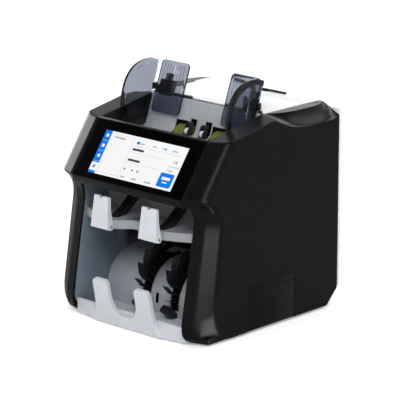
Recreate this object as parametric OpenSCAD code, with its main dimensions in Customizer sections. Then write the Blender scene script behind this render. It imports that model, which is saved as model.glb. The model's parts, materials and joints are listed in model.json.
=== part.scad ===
// Two-pocket banknote counter: hopper on top, tilted touch screen, reject and stacker pockets in front.
// Frame: X to the right, Y to the back, Z up, origin on the table under the middle of the body.
// Lengths are in millimetres.

/* [Body] */
// Overall width across the side covers
body_w = 270; // [262:1:300]
// Overall depth from the tray stop to the rear face
body_d = 303; // [296:1:340]
// Height of the rear deck above the table
deck_h = 291; // [288:1:310]
// Height of the feet
foot_h = 3; // [2.5:0.5:8]
// Wall of the plastic covers
wall = 3.5; // [3:0.1:4.5]
// Clearance between neighbouring pieces
gap = 0.3; // [0.2:0.05:0.4]
// Radius of the rear top corner
rear_r = 19; // [8:1:30]
// Bevel of the rear lower corner
rear_bevel = 22; // [10:1:26]
// Round edge of the side covers
edge = 2.6; // [1:0.1:3.2]

/* [Front] */
// Width of the body beside the note pockets, on each side
side_w = 31; // [28:0.5:36]
// Width of the pillars' front face
rim_w = 16; // [12:1:20]
// Lean of the pillars
rim_lean = 8; // [4:0.5:10]
// Setback of the pillars' outer edge
rim_back = 28; // [16:1:34]
// Radius of the pillars' toe
toe_r = 26; // [16:1:30]
// How far the tray's stop stands in front of the pillars
stop_reach = 14.4; // [10:0.2:20]
// Radius under the screen
throat_r = 24; // [16:1:28]

/* [Screen] */
// Height of the screen's lower edge
screen_z = 201; // [196:1:206]
// Tilt of the screen from upright
screen_tilt = 36; // [30:1:40]
// Setback of the screen column's outer edge
screen_back = 16; // [8:1:20]
// Distance of the touch glass from the pockets' sides
glass_in = 3; // [2.6:0.2:12]
// Height of the touch glass
glass_h = 84.8; // [78:0.2:86]
// Thickness of the touch glass
glass_t = 2; // [1:0.1:3]
// Width of the display module
module_w = 162; // [150:1:170]
// Height of the display module
module_h = 71; // [60:1:74]
// Thickness of the display module
module_t = 6; // [4:0.5:8]
// Depth of the lip under the screen
lip_h = 11; // [6:1:14]
// Depth of the screen housing's top
house_top = 19.4; // [16:0.2:24]

/* [Hopper] */
// Distance from the pillars to the hopper plate's top edge
hopper_in = 158; // [154:1:164]
// Lean of the hopper plate
hopper_lean = 20; // [16:1:24]
// Length of the hopper plate's back
hopper_len = 48.4; // [44:0.2:52]
// Rise of the hopper floor towards the front
floor_rise = 8; // [5:0.5:10]
// Fall of the hopper's side walls towards the screen
side_fall = 10; // [8:0.5:12]
// Travel of each hopper guide
guide_travel = 30; // [20:1:32]
// Height of the wings' top above the table
wing_top = 341; // [325:1:360]
// Thickness of the wings and paddles
guide_t = 2.5; // [2:0.1:3]
// Width of a paddle
paddle_w = 50; // [40:1:54]

/* [Rollers] */
// Radius of the feed rollers
feed_r = 15; // [13:0.5:16]
// Radius of the transport rollers
transport_r = 13; // [10:0.5:13]
// Radius of all shafts
shaft_r = 4; // [3:0.1:5]
// Running clearance of pins and shafts
running = 0.05; // [0.02:0.01:0.09]
// Radius of the belt pulleys
pulley_r = 12; // [9:0.5:13]
// Radius of the stacker wheels over the leaf tips
wheel_r = 43; // [36:0.5:44]
// Number of leaves on a stacker wheel
leaves = 12; // [8:1:14]
// Width of a stacker wheel
wheel_w = 12; // [8:1:14]

/* [Pockets] */
// Height of the reject floor
reject_z = 147; // [142:1:152]
// Height of a reject flap
flap_h = 44.5; // [36:0.5:44.5]
// Width of a reject flap at its foot
flap_w = 33; // [28:1:36]
// Distance of a flap from the middle
flap_x = 45; // [40:1:50]
// Height of the tray's stop
stop_h = 66; // [50:1:72]
// Forward lean of the tray's stop
stop_lean = 12; // [6:1:14]
// Radius of the stacker ramp
ramp_r = 53; // [48:1:54]

/* [Hidden] */
$fn = 48;

// Main planes
half_w = body_w / 2;
front_y = -body_d / 2;
rear_y = body_d / 2;
pillar_y = front_y + stop_reach;
pocket_x = half_w - side_w;
inner_x = pocket_x - gap;
rim_x = pocket_x + rim_w;
rim_z = foot_h + toe_r;
throat_z = screen_z - 25;
screen_y = pillar_y - 1;
lip_z = screen_z - lip_h;
lip_y = screen_y + 4.5;
hopper_y = pillar_y + hopper_in;
house_y = screen_top(0).x + house_top;
side_x = half_w - wall;

// Chassis layers across the width
liner_t = 2;
plate_t = 2;
plate_in = pocket_x + liner_t;
plate_out = plate_in + plate_t;
base_z = foot_h + 3;

// Shaft places in Y and Z
bend = [hopper_y - hopper_len * sin(hopper_lean), deck_h - hopper_len * cos(hopper_lean)];
feed_at = bend + [12.5, -5.5];
lever_at = bend + [-10.5, -12.5];
transport_at = [hopper_y - 6.5, reject_z - 13];
idler_at = transport_at + [2 * transport_r + 0.8, 0];
exit_at = [house_y + 16, reject_z + 23];
gate_at = transport_at + [-23.5, -18];
stacker_at = [pillar_y + 91, foot_h + 51.5];
ramp_at = [pillar_y + 118.5, foot_h + 21];
main_motor_at = [rear_y - 57, base_z + 73];
stacker_motor_at = [ramp_at.x + 25, ramp_at.y + 11];
turn_at = transport_at + [-13.5, -4];
bearing_places = [feed_at, transport_at, idler_at, exit_at, gate_at, stacker_at];
bearing_r = shaft_r + 4;
bearing_l = 4;
press = 0.02;

// Pulley lane outside the chassis plates
lane_x = plate_in + bearing_l + 1;
lane_w = 10;
belt_w = 4;
belt_t = 1.5;

// Rear of the body
rear_top = 43;
deck_t = 2;
deck_y0 = hopper_y + 8.5;
deck_y1 = rear_y - rear_top;
deck_x = pocket_x - 3;
door_x = pocket_x - 19;
door_z0 = foot_h + 116;
door_z1 = deck_h - rear_r - 10;
door_t = 3;
socket_x = -55;
socket_z = foot_h + 38;
socket_w = 54;
socket_h = 27;
rocker_x = socket_x + 17;
rocker_w = 10.8;
latch_x = 47;

// Side panel on the right cover
panel_y0 = pillar_y + 94;
panel_y1 = pillar_y + 191;
panel_z1 = foot_h + 64;
panel_axis = [half_w - 3, foot_h + 2.2];
panel_pin_r = 1;

// Pins of the flaps and levers
pin_r = 2;
flap_lean = 6;
flap_at = [pillar_y, reject_z - 7];
flap_wall = 2.5;
flap_top_w = flap_w - 7;

// Hopper guides
wing_x = pocket_x - 7.5;
pinion_y = hopper_y + 26;
pinion_r = 8;
pinion_teeth = 12;
rack_z0 = deck_h - 16;
rack_h = 7;
rail_t = 2.5;

// Shape helpers
function unit(v) = v / norm(v);
function inset(p, d) = [
    for (i = [0:len(p) - 1])
    let(
        e = unit(p[i] - p[(i + len(p) - 1) % len(p)]),
        f = unit(p[(i + 1) % len(p)] - p[i]),
        m = [-e.y, e.x],
        n = [-f.y, f.x]
    )
    p[i] + d * (m + n) / (1 + m * n)
];
function arc(c, r, a0, a1, steps) = [
    for (i = [0:steps])
    let(a = a0 + (a1 - a0) * i / steps)
    c + r * [cos(a), sin(a)]
];
function flip(p) = [for (i = [len(p) - 1:-1:0]) p[i]];

module box(lo, hi) {
    translate(lo)
        cube(hi - lo);
}

module pair() {
    children();
    mirror([1, 0, 0])
        children();
}

module along_x(x0, x1) {
    translate([x0, 0, 0])
        rotate([90, 0, 90])
            linear_extrude(x1 - x0)
                children();
}

module rod_x(x0, x1, at, r) {
    translate([x0, at.x, at.y])
        rotate([0, 90, 0])
            cylinder(h = x1 - x0, r = r);
}

module loft(rings) {
    n = len(rings[0][1]);
    m = len(rings);
    spots = [for (r = rings) for (p = r[1]) [r[0], p.x, p.y]];
    sides = [
        for (i = [0:m - 2])
        for (j = [0:n - 1])
        let(k = (j + 1) % n)
        for (f = [[i * n + j, (i + 1) * n + j, (i + 1) * n + k], [i * n + j, (i + 1) * n + k, i * n + k]])
        f
    ];
    inner = [for (j = [0:n - 1]) j];
    outer = [for (j = [n - 1:-1:0]) (m - 1) * n + j];
    polyhedron(points = spots, faces = concat([inner], sides, [outer]));
}

// Side view of the body, with its pillar set back by rb and its screen column by sb
function fall_z(y) = deck_h - (hopper_y - y) * tan(side_fall);
function rim_at(z) = pillar_y + (z - rim_z) * tan(rim_lean);
function screen_top(sb) =
    let(k = tan(side_fall), t = tan(screen_tilt))
    let(y = (screen_y + sb + (deck_h - hopper_y * k - screen_z) * t) / (1 - k * t))
    [y, fall_z(y)];
function profile(rb, sb) = concat(
    [[rear_y - rear_bevel, foot_h], [rear_y, foot_h + rear_bevel]],
    arc([rear_y - rear_r, deck_h - rear_r], rear_r, 0, 90, 6),
    [[hopper_y, deck_h], screen_top(sb), [screen_y + sb, screen_z]],
    arc([rim_at(throat_z) + rb - throat_r, throat_z], throat_r, 60, 0, 5),
    arc([pillar_y + rb + toe_r, rim_z], toe_r, 180, 270, 6)
);
function splay(x) = (x - rim_x) / (half_w - rim_x);
function side_ring(x, d) = [x, inset(profile(rim_back * splay(x), screen_back * splay(x)), d)];

// Screen frame: X across, local Y up the glass, local Z out of it
module on_screen() {
    translate([0, screen_y, screen_z])
        rotate([90 - screen_tilt, 0, 0])
            children();
}
glass_w = 2 * (pocket_x - glass_in);
screen_len = (screen_top(0).y - screen_z) / cos(screen_tilt);
glass_u = (screen_len - glass_h) / 2;
module_u = glass_u + (glass_h - module_h) / 2 - 2;
function house(sb) = [
    [lip_y + sb, lip_z],
    [house_y, lip_z],
    [house_y, fall_z(house_y)],
    screen_top(sb),
    [screen_y + sb, screen_z]
];

// Hopper path from the plate's top edge, down its back and forward along the floor, shifted out by d
bend_r = 8;
plate_d = 1.5;
frame_d = 4.5;
back_n = [cos(hopper_lean), -sin(hopper_lean)];
floor_n = [-sin(floor_rise), -cos(floor_rise)];
bend_c = bend - bend_r * (back_n + floor_n) / (1 + back_n * floor_n);
floor_len = (bend.x - house_y - gap - frame_d * sin(floor_rise)) / cos(floor_rise);
floor_end = bend + floor_len * [-cos(floor_rise), sin(floor_rise)];
function hopper_path(d, skip) = concat(
    [[hopper_y, deck_h] - skip * [sin(hopper_lean), cos(hopper_lean)] + d * back_n],
    arc(bend_c, bend_r + d, -hopper_lean, -90 - floor_rise, 5),
    [floor_end + d * floor_n]
);
module on_hopper() {
    translate([0, hopper_y, deck_h])
        rotate([-hopper_lean, 0, 0])
            children();
}

// Colours
black = [0.12, 0.12, 0.13];
dark = [0.2, 0.2, 0.22];
silver = [0.72, 0.75, 0.78];
pale = [0.86, 0.88, 0.9];
slate = [0.4, 0.47, 0.53];
smoke = [0.5, 0.54, 0.6];
steel = [0.6, 0.62, 0.64];
green = [0.12, 0.35, 0.2];

// Side covers
boss_places = [
    [rear_y - 30, foot_h + 41],
    [rear_y - 30, deck_h - 50],
    [pillar_y + 60, foot_h + 86],
    [pillar_y + 90, screen_z + 24]
];
strip_y0 = hopper_y + 5;
scoop_d = 22.5;
scoop_w = 10.2;

module scoop() {
    deep = deck_h - scoop_d;
    rim = deck_h + 0.4;
    top = deck_h + 2;
    out = half_w + 0.6;
    front = [[hopper_y - 11, top], [hopper_y + 3, deck_h - 9], [hopper_y + 15, deck_h - 15]];
    hull() {
        along_x(out, out + 0.5)
            polygon(concat(front, [
                [hopper_y + 42, deep + 2], [hopper_y + 74, deep], [hopper_y + 104, deep],
                [rear_y - 4, deep + 5], [rear_y + 2, deep + 9], [rear_y + 2, top]
            ]));
        along_x(half_w - 6.6, half_w - 6.5)
            polygon([
                [hopper_y - 3, top], [hopper_y + 22, deck_h - 10], [hopper_y + 54, deck_h - 13],
                [hopper_y + 94, deck_h - 13], [rear_y - 12, deck_h - 8], [rear_y + 2, deck_h - 5],
                [rear_y + 2, top]
            ]);
        box([half_w - scoop_w, hopper_y + 5, rim], [half_w - scoop_w + 0.5, hopper_y + 92, top]);
    }
    hull() {
        along_x(out + 0.1, out + 0.4)
            polygon(concat(front, [[hopper_y + 15, top]]));
        box([pocket_x + 1, hopper_y + 1, rim], [pocket_x + 2, hopper_y + 2, top]);
        box([half_w - scoop_w + 1, hopper_y + 4, rim], [half_w - scoop_w + 2, hopper_y + 7, top]);
    }
}

module cover_shell() {
    difference() {
        union() {
            difference() {
                loft([
                    [pocket_x - 2, profile(0, 0)],
                    [rim_x, profile(0, 0)],
                    side_ring(half_w - edge, 0),
                    side_ring(half_w - 0.3 * edge, 0.3 * edge),
                    side_ring(half_w, edge)
                ]);
                box([pocket_x - 3, front_y - 1, 0], [pocket_x, rear_y + 1, deck_h + 1]);
            }
            box([deck_x + gap, strip_y0, deck_h - wall], [pocket_x + 1, deck_y1 - gap, deck_h]);
        }
        difference() {
            union() {
                along_x(pocket_x - 5, side_x)
                    polygon(inset(profile(rim_back, screen_back), wall));
                along_x(pocket_x - 5, rim_x - wall)
                    polygon(inset(profile(0, 0), wall));
            }
            translate([-wall, 0, -wall])
                scoop();
        }
        scoop();
    }
    for (at = boss_places)
        rod_x(plate_out, side_x + 1, at, 4);
}

module cover_left() {
    color(black)
        mirror([1, 0, 0])
            cover_shell();
}

module cover_right() {
    color(black)
        difference() {
            cover_shell();
            box([half_w - 6, panel_y0 - gap, foot_h - 1], [half_w + 1, panel_y1 + gap, panel_z1 + gap]);
            translate([panel_axis.x, panel_y0 - 5, panel_axis.y])
                rotate([-90, 0, 0])
                    cylinder(h = panel_y1 - panel_y0 + 10, r = panel_pin_r + running);
        }
}

module side_panel() {
    panel_t = 3;
    color(black) {
        difference() {
            box(
                [half_w - 0.2 - panel_t, panel_y0, panel_axis.y],
                [half_w - 0.2, panel_y1, panel_z1]
            );
            for (drop = [4, 8])
                box(
                    [half_w - 1, panel_y0 - 1, panel_z1 - drop - 1.4],
                    [half_w, panel_y1 + 1, panel_z1 - drop]
                );
        }
        translate([panel_axis.x, panel_y0, panel_axis.y])
            rotate([-90, 0, 0])
                cylinder(h = panel_y1 - panel_y0, r = 1.9);
        translate([panel_axis.x, panel_y0 - 4, panel_axis.y])
            rotate([-90, 0, 0])
                cylinder(h = panel_y1 - panel_y0 + 8, r = panel_pin_r);
    }
}

// Screen
house_wall = 2.5;
house_front = 4.5;

module screen_housing() {
    color(black)
        difference() {
            along_x(-inner_x, inner_x)
                polygon(house(0));
            along_x(house_wall - inner_x, inner_x - house_wall)
                polygon(inset(house(house_front), house_wall));
            on_screen() {
                translate([-glass_w / 2 - gap, glass_u - gap, -glass_t])
                    cube([glass_w + 2 * gap, glass_h + 2 * gap, glass_t + 1]);
                translate([-module_w / 2 - gap, module_u - gap, -house_front - 8])
                    cube([module_w + 2 * gap, module_h + 2 * gap, house_front + 8]);
            }
            box([30 - inner_x, house_y - 5, lip_z + 8], [inner_x - 30, house_y + 1, lip_z + 48]);
        }
}

module touch_glass() {
    color([0.02, 0.02, 0.03])
        on_screen()
            translate([-glass_w / 2, glass_u, -glass_t])
                cube([glass_w, glass_h, glass_t]);
}

module display_module() {
    color(steel)
        on_screen() {
            translate([-module_w / 2, module_u, -glass_t - module_t])
                cube([module_w, module_h, module_t]);
            translate([-module_w / 2 + 12, module_u + 6, -glass_t - module_t - 6])
                cube([module_w - 24, module_h - 12, 6]);
        }
}

// Hopper
roller_x = 34;
roller_w = 22;
lever_x = 14;
slot_play = 1;

module hopper_slots() {
    pair() {
        box(
            [roller_x - roller_w / 2 - slot_play, bend.x - 11, bend.y - 14],
            [roller_x + roller_w / 2 + slot_play, bend.x + 16, bend.y + 17]
        );
        box([lever_x - 6, bend.x - 20, bend.y - 18], [lever_x + 6, bend.x + 12, bend.y + 21]);
    }
}

module hopper_plate() {
    color(silver)
        difference() {
            along_x(2.5 - inner_x, inner_x - 2.5)
                polygon(concat(hopper_path(0, 0), flip(hopper_path(plate_d, 0))));
            hopper_slots();
        }
}

module hopper_frame() {
    lug_r = 4.5;
    tub_back = 14;
    color(dark) {
        difference() {
            along_x(-inner_x, inner_x)
                polygon(concat(hopper_path(plate_d, tub_back), flip(hopper_path(frame_d, tub_back))));
            hopper_slots();
        }
        pair()
            along_x(inner_x - 2.2, inner_x)
                polygon(concat(
                    hopper_path(frame_d, 0),
                    [[floor_end.x, fall_z(floor_end.x)], [hopper_y, deck_h]]
                ));
        difference() {
            union() {
                box([-4, lever_at.x - lug_r, lever_at.y], [4, lever_at.x + lug_r, bend.y - 2.5]);
                rod_x(-4, 4, lever_at, lug_r);
            }
            rod_x(-5, 5, lever_at, pin_r + running);
        }
    }
}

module lever_pin() {
    color(steel)
        rod_x(-20, 20, lever_at, pin_r);
}

module lever(x) {
    wheel_at = bend + [-5.5, 6];
    arm = [
        lever_at + [-2.5, 0], lever_at + [3, 0], lever_at + [6, 14], lever_at + [13, 29],
        lever_at + [10.5, 31], lever_at + [6, 29], lever_at + [0, 15]
    ];
    color(black) {
        difference() {
            union() {
                rod_x(x - 5, x + 5, lever_at, 4.5);
                for (dx = [-5, 3])
                    along_x(x + dx, x + dx + 2)
                        polygon(arm);
                along_x(x - 3.5, x + 3.5)
                    polygon([arm[3], arm[4], arm[5], arm[5] + [2, -3], arm[3] + [-1.5, -4]]);
            }
            rod_x(x - 6, x + 6, lever_at, pin_r + running);
        }
        rod_x(x - 3.5, x + 3.5, wheel_at, 1.5);
        rod_x(x - 2.6, x + 2.6, wheel_at, 5);
    }
}

module lever_left() {
    lever(-lever_x);
}

module lever_right() {
    lever(lever_x);
}

module feed_shaft() {
    color(steel) {
        rod_x(-plate_out - 3, lane_x + lane_w, feed_at, shaft_r);
        rod_x(lane_x, lane_x + lane_w, feed_at, pulley_r);
    }
}

module feed_rollers() {
    ribs = 4;
    rib_w = 4;
    step = (roller_w - rib_w) / (ribs - 1);
    color([0.33, 0.37, 0.18])
        pair()
            difference() {
                union() {
                    rod_x(roller_x - roller_w / 2, roller_x + roller_w / 2, feed_at, feed_r - 1.2);
                    for (i = [0:ribs - 1])
                        rod_x(
                            roller_x - roller_w / 2 + i * step,
                            roller_x - roller_w / 2 + i * step + rib_w,
                            feed_at,
                            feed_r
                        );
                }
                rod_x(roller_x - roller_w, roller_x + roller_w, feed_at, shaft_r + press);
            }
}

// Hopper guides
function curve(c, a, b, n, steps) = [
    for (i = [0:steps])
    let(t = 90 * i / steps)
    c + [-a * pow(cos(t), 2 / n), b * pow(sin(t), 2 / n)]
];
wing_foot = deck_h - 29;
wing_at = [hopper_y - 7, wing_foot + 8];
wing_a = 60;
wing_b = wing_top - wing_at.y;
wing_n = 2.6;
rim_band = 8;

module wing() {
    top_back = [hopper_y + 7, wing_top - 5];
    color(smoke) {
        along_x(wing_x, wing_x + guide_t)
            polygon(concat(
                [[wing_at.x - wing_a, wing_foot]],
                curve(wing_at, wing_a, wing_b, wing_n, 12),
                [top_back, [hopper_y - 3.5, deck_h + 6], [hopper_y - 17, wing_foot]]
            ));
        along_x(wing_x + guide_t, wing_x + guide_t + 1.5)
            polygon(concat(
                [[wing_at.x - wing_a, wing_foot]],
                curve(wing_at, wing_a, wing_b, wing_n, 12),
                [top_back, top_back + [-2, -rim_band]],
                flip(curve(wing_at, wing_a - rim_band, wing_b - rim_band, wing_n, 12)),
                [[wing_at.x - wing_a + rim_band, wing_foot]]
            ));
    }
}

paddle_out = wing_x - 1.5;
paddle_z0 = -24.5;
paddle_h = 70;
paddle_d = -4;

module paddle() {
    ribs = 5;
    color(smoke)
        on_hopper() {
            translate([paddle_out - paddle_w, paddle_d - guide_t, paddle_z0])
                cube([paddle_w, guide_t, paddle_h]);
            for (i = [0:ribs - 1])
                translate([
                    paddle_out - paddle_w + 4 + i * (paddle_w - 10) / (ribs - 1),
                    paddle_d - guide_t - 1,
                    paddle_z0 + 4
                ])
                    cube([2, 1, paddle_h - 8]);
        }
}

bar_y0 = hopper_y + 3;
bar_y1 = hopper_y + 8;
tooth_pitch = 2 * PI * pinion_r / pinion_teeth;
tooth_h = 2.4;
rack_y = pinion_r + 1.6;
rack_w = 4;

module slider(side) {
    color(black) {
        on_hopper() {
            translate([paddle_out - 19, paddle_d, 2])
                cube([19, 8, 27]);
            translate([paddle_out - 13, paddle_d + 2, 29])
                cube([7, 5, 8]);
        }
        box([paddle_out - 62, bar_y0, deck_h - 6], [paddle_out + 1, bar_y1, deck_h + 2.5]);
        box([paddle_out, hopper_y - 7, deck_h + 5], [wing_x, hopper_y + 5.5, deck_h + 14]);
        box([paddle_out - 15, bar_y0, rack_z0], [paddle_out, bar_y1, deck_h - 5]);
        box(
            [paddle_out - 15, bar_y1 - 1, rack_z0],
            [paddle_out, pinion_y - side * rack_y, rack_z0 + rack_h]
        );
        rack(side);
    }
}

rack_end = 10;

module rack(side) {
    face = pinion_y - side * rack_y;
    back = face - side * rack_w;
    teeth = floor((guide_travel + 6) / tooth_pitch);
    box([-rack_end, min(face, back), rack_z0], [paddle_out, max(face, back), rack_z0 + rack_h]);
    for (i = [-2:teeth])
        translate([(i + 0.5) * tooth_pitch, face, rack_z0])
            linear_extrude(rack_h)
                polygon([
                    [-0.9, -side * 0.5], [0.9, -side * 0.5], [0.5, side * tooth_h], [-0.5, side * tooth_h]
                ]);
}

module guide_pinion() {
    color(pale)
        translate([0, pinion_y, rack_z0])
            difference() {
                linear_extrude(rack_h)
                    union() {
                        circle(r = pinion_r - 1.4);
                        for (i = [0:pinion_teeth - 1])
                            rotate(90 + i * 360 / pinion_teeth)
                                polygon([
                                    [pinion_r - 2.4, -1], [pinion_r + 1.2, -0.5],
                                    [pinion_r + 1.2, 0.5], [pinion_r - 2.4, 1]
                                ]);
                    }
                translate([0, 0, -1])
                    cylinder(h = rack_h + 2, r = 3 + running);
            }
}

module guide_rail() {
    color(steel) {
        box(
            [-plate_in, hopper_y + 10, rack_z0 - gap - rail_t],
            [plate_in, pinion_y + rack_y + rack_w + 2, rack_z0 - gap]
        );
        translate([0, pinion_y, rack_z0 - gap - 1])
            cylinder(h = rack_h + 2, r = 3);
    }
}

module wing_left() {
    mirror([1, 0, 0])
        wing();
}

module wing_right() {
    wing();
}

module paddle_left() {
    mirror([1, 0, 0])
        paddle();
}

module paddle_right() {
    paddle();
}

module slider_left() {
    mirror([1, 0, 0])
        slider(1);
}

module slider_right() {
    slider(-1);
}

// Rear of the body
module rear_deck() {
    color(pale) {
        box([-deck_x, deck_y0, deck_h - deck_t], [deck_x, deck_y1 - gap, deck_h]);
        pair()
            for (y = [deck_y0 + 8, deck_y1 - 14])
                box([deck_x - 3, y, deck_h - 8], [plate_in, y + 8, deck_h - wall - gap]);
        pair()
            box([deck_x - 3, deck_y0 + 8, deck_h - 8], [deck_x, deck_y1 - 6, deck_h - 1]);
    }
}

hinge_r = 1.5;
hinge_at = [rear_y - 2.6, door_z0];
knuckle_r = 2.3;
hook_play = 4;

module rear_cover() {
    color(pale)
        difference() {
            union() {
                difference() {
                    along_x(-inner_x, inner_x)
                        polygon(profile(0, 0));
                    along_x(-inner_x - 1, inner_x + 1)
                        polygon(inset(profile(0, 0), wall));
                    box([-half_w, front_y, 0], [half_w, deck_y1, deck_h + 1]);
                    box([-half_w, front_y, 0], [half_w, rear_y - rear_bevel, deck_h / 2]);
                    box([-half_w, front_y, 0], [half_w, rear_y + 1, base_z + 1]);
                }
                pair()
                    box([door_x + gap, rear_y - 6.5, door_z0 - 5], [door_x + 9, rear_y - 1, door_z0 + 5]);
            }
            box(
                [-door_x - gap, rear_y - wall - 1, door_z0 - knuckle_r - 0.5],
                [door_x + gap, rear_y + 1, door_z1 + gap]
            );
            rod_x(-door_x - 7, door_x + 7, hinge_at, hinge_r + running);
            box(
                [socket_x - socket_w / 2 - gap, rear_y - wall - 1, socket_z - socket_h / 2 - gap],
                [socket_x + socket_w / 2 + gap, rear_y + 1, socket_z + socket_h / 2 + gap]
            );
            for (i = [0:6])
                box(
                    [20, rear_y - wall - 1, foot_h + 28 + i * 8],
                    [80, rear_y + 1, foot_h + 31.5 + i * 8]
                );
            box(
                [-15.4, rear_y - rear_r - 1 - hook_play - gap, deck_h - wall - 1],
                [15.4, rear_y - rear_r + 2.4, deck_h + 1]
            );
        }
}

module rear_door() {
    color(pale) {
        difference() {
            box([-door_x, rear_y - 0.2 - door_t, door_z0], [door_x, rear_y - 0.2, door_z1]);
            box([-20, rear_y - 1.6, door_z1 - 14], [20, rear_y, door_z1 - 6]);
        }
        rod_x(-door_x, door_x, hinge_at, knuckle_r);
        rod_x(-door_x - 6, door_x + 6, hinge_at, hinge_r);
    }
}

module door_latch() {
    y0 = rear_y - rear_r - 1;
    color(dark) {
        box([-latch_x, y0 - 1, deck_h + gap], [latch_x, y0 + 4, deck_h + 2.5]);
        box([-15, y0, deck_h - 8], [15, y0 + 3, deck_h + 1]);
        box([-18, y0 - 2, deck_h - 9], [18, y0 + 5, deck_h - wall - 1]);
    }
}

module power_socket() {
    y1 = rear_y - 0.6;
    y0 = y1 - 22;
    color(dark) {
        difference() {
            box(
                [socket_x - socket_w / 2, y0, socket_z - socket_h / 2],
                [socket_x + socket_w / 2, y1, socket_z + socket_h / 2]
            );
            box([socket_x - 24, y1 - 16, socket_z - 8.5], [socket_x + 2, y1 + 1, socket_z + 8.5]);
            box(
                [rocker_x - rocker_w / 2 - gap, y1 - 14, socket_z - 9.6],
                [rocker_x + rocker_w / 2 + gap, y1 + 1, socket_z + 9.6]
            );
            rod_x(rocker_x - 8, rocker_x + 8, [y1 - 5, socket_z], hinge_r + running);
        }
        for (pin = [[-18, -2], [-11, 3], [-4, -2]])
            box(
                [socket_x + pin.x - 1, y1 - 17, socket_z + pin.y - 2.5],
                [socket_x + pin.x + 1, y1 - 4, socket_z + pin.y + 2.5]
            );
    }
}

module power_switch() {
    at = [rear_y - 5.6, socket_z];
    color(black) {
        along_x(rocker_x - rocker_w / 2, rocker_x + rocker_w / 2)
            polygon([
                at + [-4, -5], at + [2.6, -8.4], at + [3.4, -8], at + [2.6, 0],
                at + [4.6, 7.6], at + [3.6, 8.2], at + [-4, 5]
            ]);
        rod_x(rocker_x - 7, rocker_x + 7, at, hinge_r);
    }
}

// Chassis
module chassis(motor_at) {
    difference() {
        along_x(plate_in, plate_out)
            polygon(inset(profile(rim_back, screen_back), wall + gap));
        for (at = bearing_places)
            rod_x(plate_in - 1, plate_out + 1, at, bearing_r + press);
        rod_x(plate_in - 1, plate_out + 1, motor_at, 9);
        box([plate_in - 1, hopper_y + 40, base_z + 130], [plate_out + 1, rear_y - 40, base_z + 190]);
        box([plate_in - 1, house_y + 10, lip_z + 14], [plate_out + 1, house_y + 40, lip_z + 26]);
        box([plate_in - 1, hopper_y - 5, deck_h - 9], [plate_out + 1, hopper_y + 9, deck_h]);
    }
}

module chassis_left() {
    color(steel)
        mirror([1, 0, 0])
            chassis(stacker_motor_at);
}

module chassis_right() {
    color(steel)
        chassis(main_motor_at);
}

module chassis_screws() {
    places = [
        [rear_y - 20, foot_h + 100], [rear_y - 20, foot_h + 180], [hopper_y + 50, base_z + 14],
        [house_y + 4, base_z + 14], [hopper_y + 50, deck_h - 18], [house_y + 8, lip_z + 42]
    ];
    color(steel)
        pair()
            for (at = places)
                difference() {
                    rod_x(plate_out, plate_out + 2, at, 3.2);
                    box(
                        [plate_out + 1.2, at.x - 4, at.y - 0.5],
                        [plate_out + 3, at.x + 4, at.y + 0.5]
                    );
                }
}

module bearings() {
    color(steel)
        pair()
            for (at = bearing_places)
                difference() {
                    rod_x(plate_in, plate_in + bearing_l, at, bearing_r);
                    rod_x(plate_in - 1, plate_in + bearing_l + 1, at, shaft_r + running);
                }
}

base_rim = 6;

module base_plate() {
    rim_y = ramp_at.x - 10;
    color(steel) {
        box([-inner_x, pillar_y + 18, foot_h], [inner_x, rear_y - rear_bevel, base_z]);
        pair()
            box([inner_x - 3, rim_y, base_z - 1], [inner_x, rear_y - rear_bevel, base_z + base_rim]);
        pair()
            box([inner_x - 1, rim_y, foot_h + wall + gap], [plate_in, rear_y - 40, base_z + base_rim]);
    }
}

module feet() {
    color(black)
        pair()
            for (y = [pillar_y + 29, rear_y - 34])
                translate([pocket_x - 11, y, 0])
                    cylinder(h = foot_h, r1 = 8, r2 = 9);
}

module liner() {
    difference() {
        intersection() {
            along_x(pocket_x, plate_in)
                polygon(inset(profile(0, 0), wall + gap));
            box([pocket_x - 1, front_y, base_z + 1], [plate_in + 1, ramp_at.x - 12, lip_z + 10]);
        }
        rod_x(pocket_x - 1, plate_in + 1, stacker_at, shaft_r + 2);
        rod_x(pocket_x - 1, plate_in + 1, exit_at, shaft_r + 2);
        rod_x(pocket_x - 1, plate_in + 1, [pillar_y + 13, lip_z - 12], 2.5);
    }
}

module liner_left() {
    color(slate)
        mirror([1, 0, 0])
            liner();
}

module liner_right() {
    color(slate)
        liner();
}

// Note path inside
module transport_shaft() {
    color(steel) {
        rod_x(-plate_out - 3, lane_x + lane_w, transport_at, shaft_r);
        rod_x(lane_x, lane_x + lane_w, transport_at, pulley_r);
        pair() {
            rod_x(22, 46, transport_at, transport_r);
            rod_x(68, 84, transport_at, transport_r);
        }
    }
}

module idler_shaft() {
    color(steel) {
        rod_x(-plate_out - 3, plate_out + 3, idler_at, shaft_r);
        pair() {
            rod_x(22, 46, idler_at, transport_r);
            rod_x(68, 84, idler_at, transport_r);
        }
    }
}

module exit_shaft() {
    color(steel) {
        rod_x(-plate_out - 3, plate_out + 3, exit_at, shaft_r);
        pair()
            rod_x(66, 86, exit_at, 9);
    }
}

bar_z0 = reject_z + 9;
bar_d = 18;
note_gap = 5;

module sensor_bar(y0) {
    difference() {
        box([-plate_in, y0, bar_z0], [plate_in, y0 + bar_d, bar_z0 + 34]);
        box([12 - plate_in, y0 + 3, bar_z0 + 3], [plate_in - 12, y0 + bar_d - 3, bar_z0 + 35]);
    }
}

module sensor_bar_front() {
    color(dark)
        sensor_bar(transport_at.x + transport_r - bar_d - note_gap / 2);
}

module sensor_bar_rear() {
    color(dark)
        sensor_bar(transport_at.x + transport_r + note_gap / 2);
}

module turn_guide() {
    r = 30;
    color(steel)
        along_x(-plate_in, plate_in)
            polygon(concat(arc(turn_at, r, -104, -36, 10), flip(arc(turn_at, r + 2, -104, -36, 10))));
}

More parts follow.
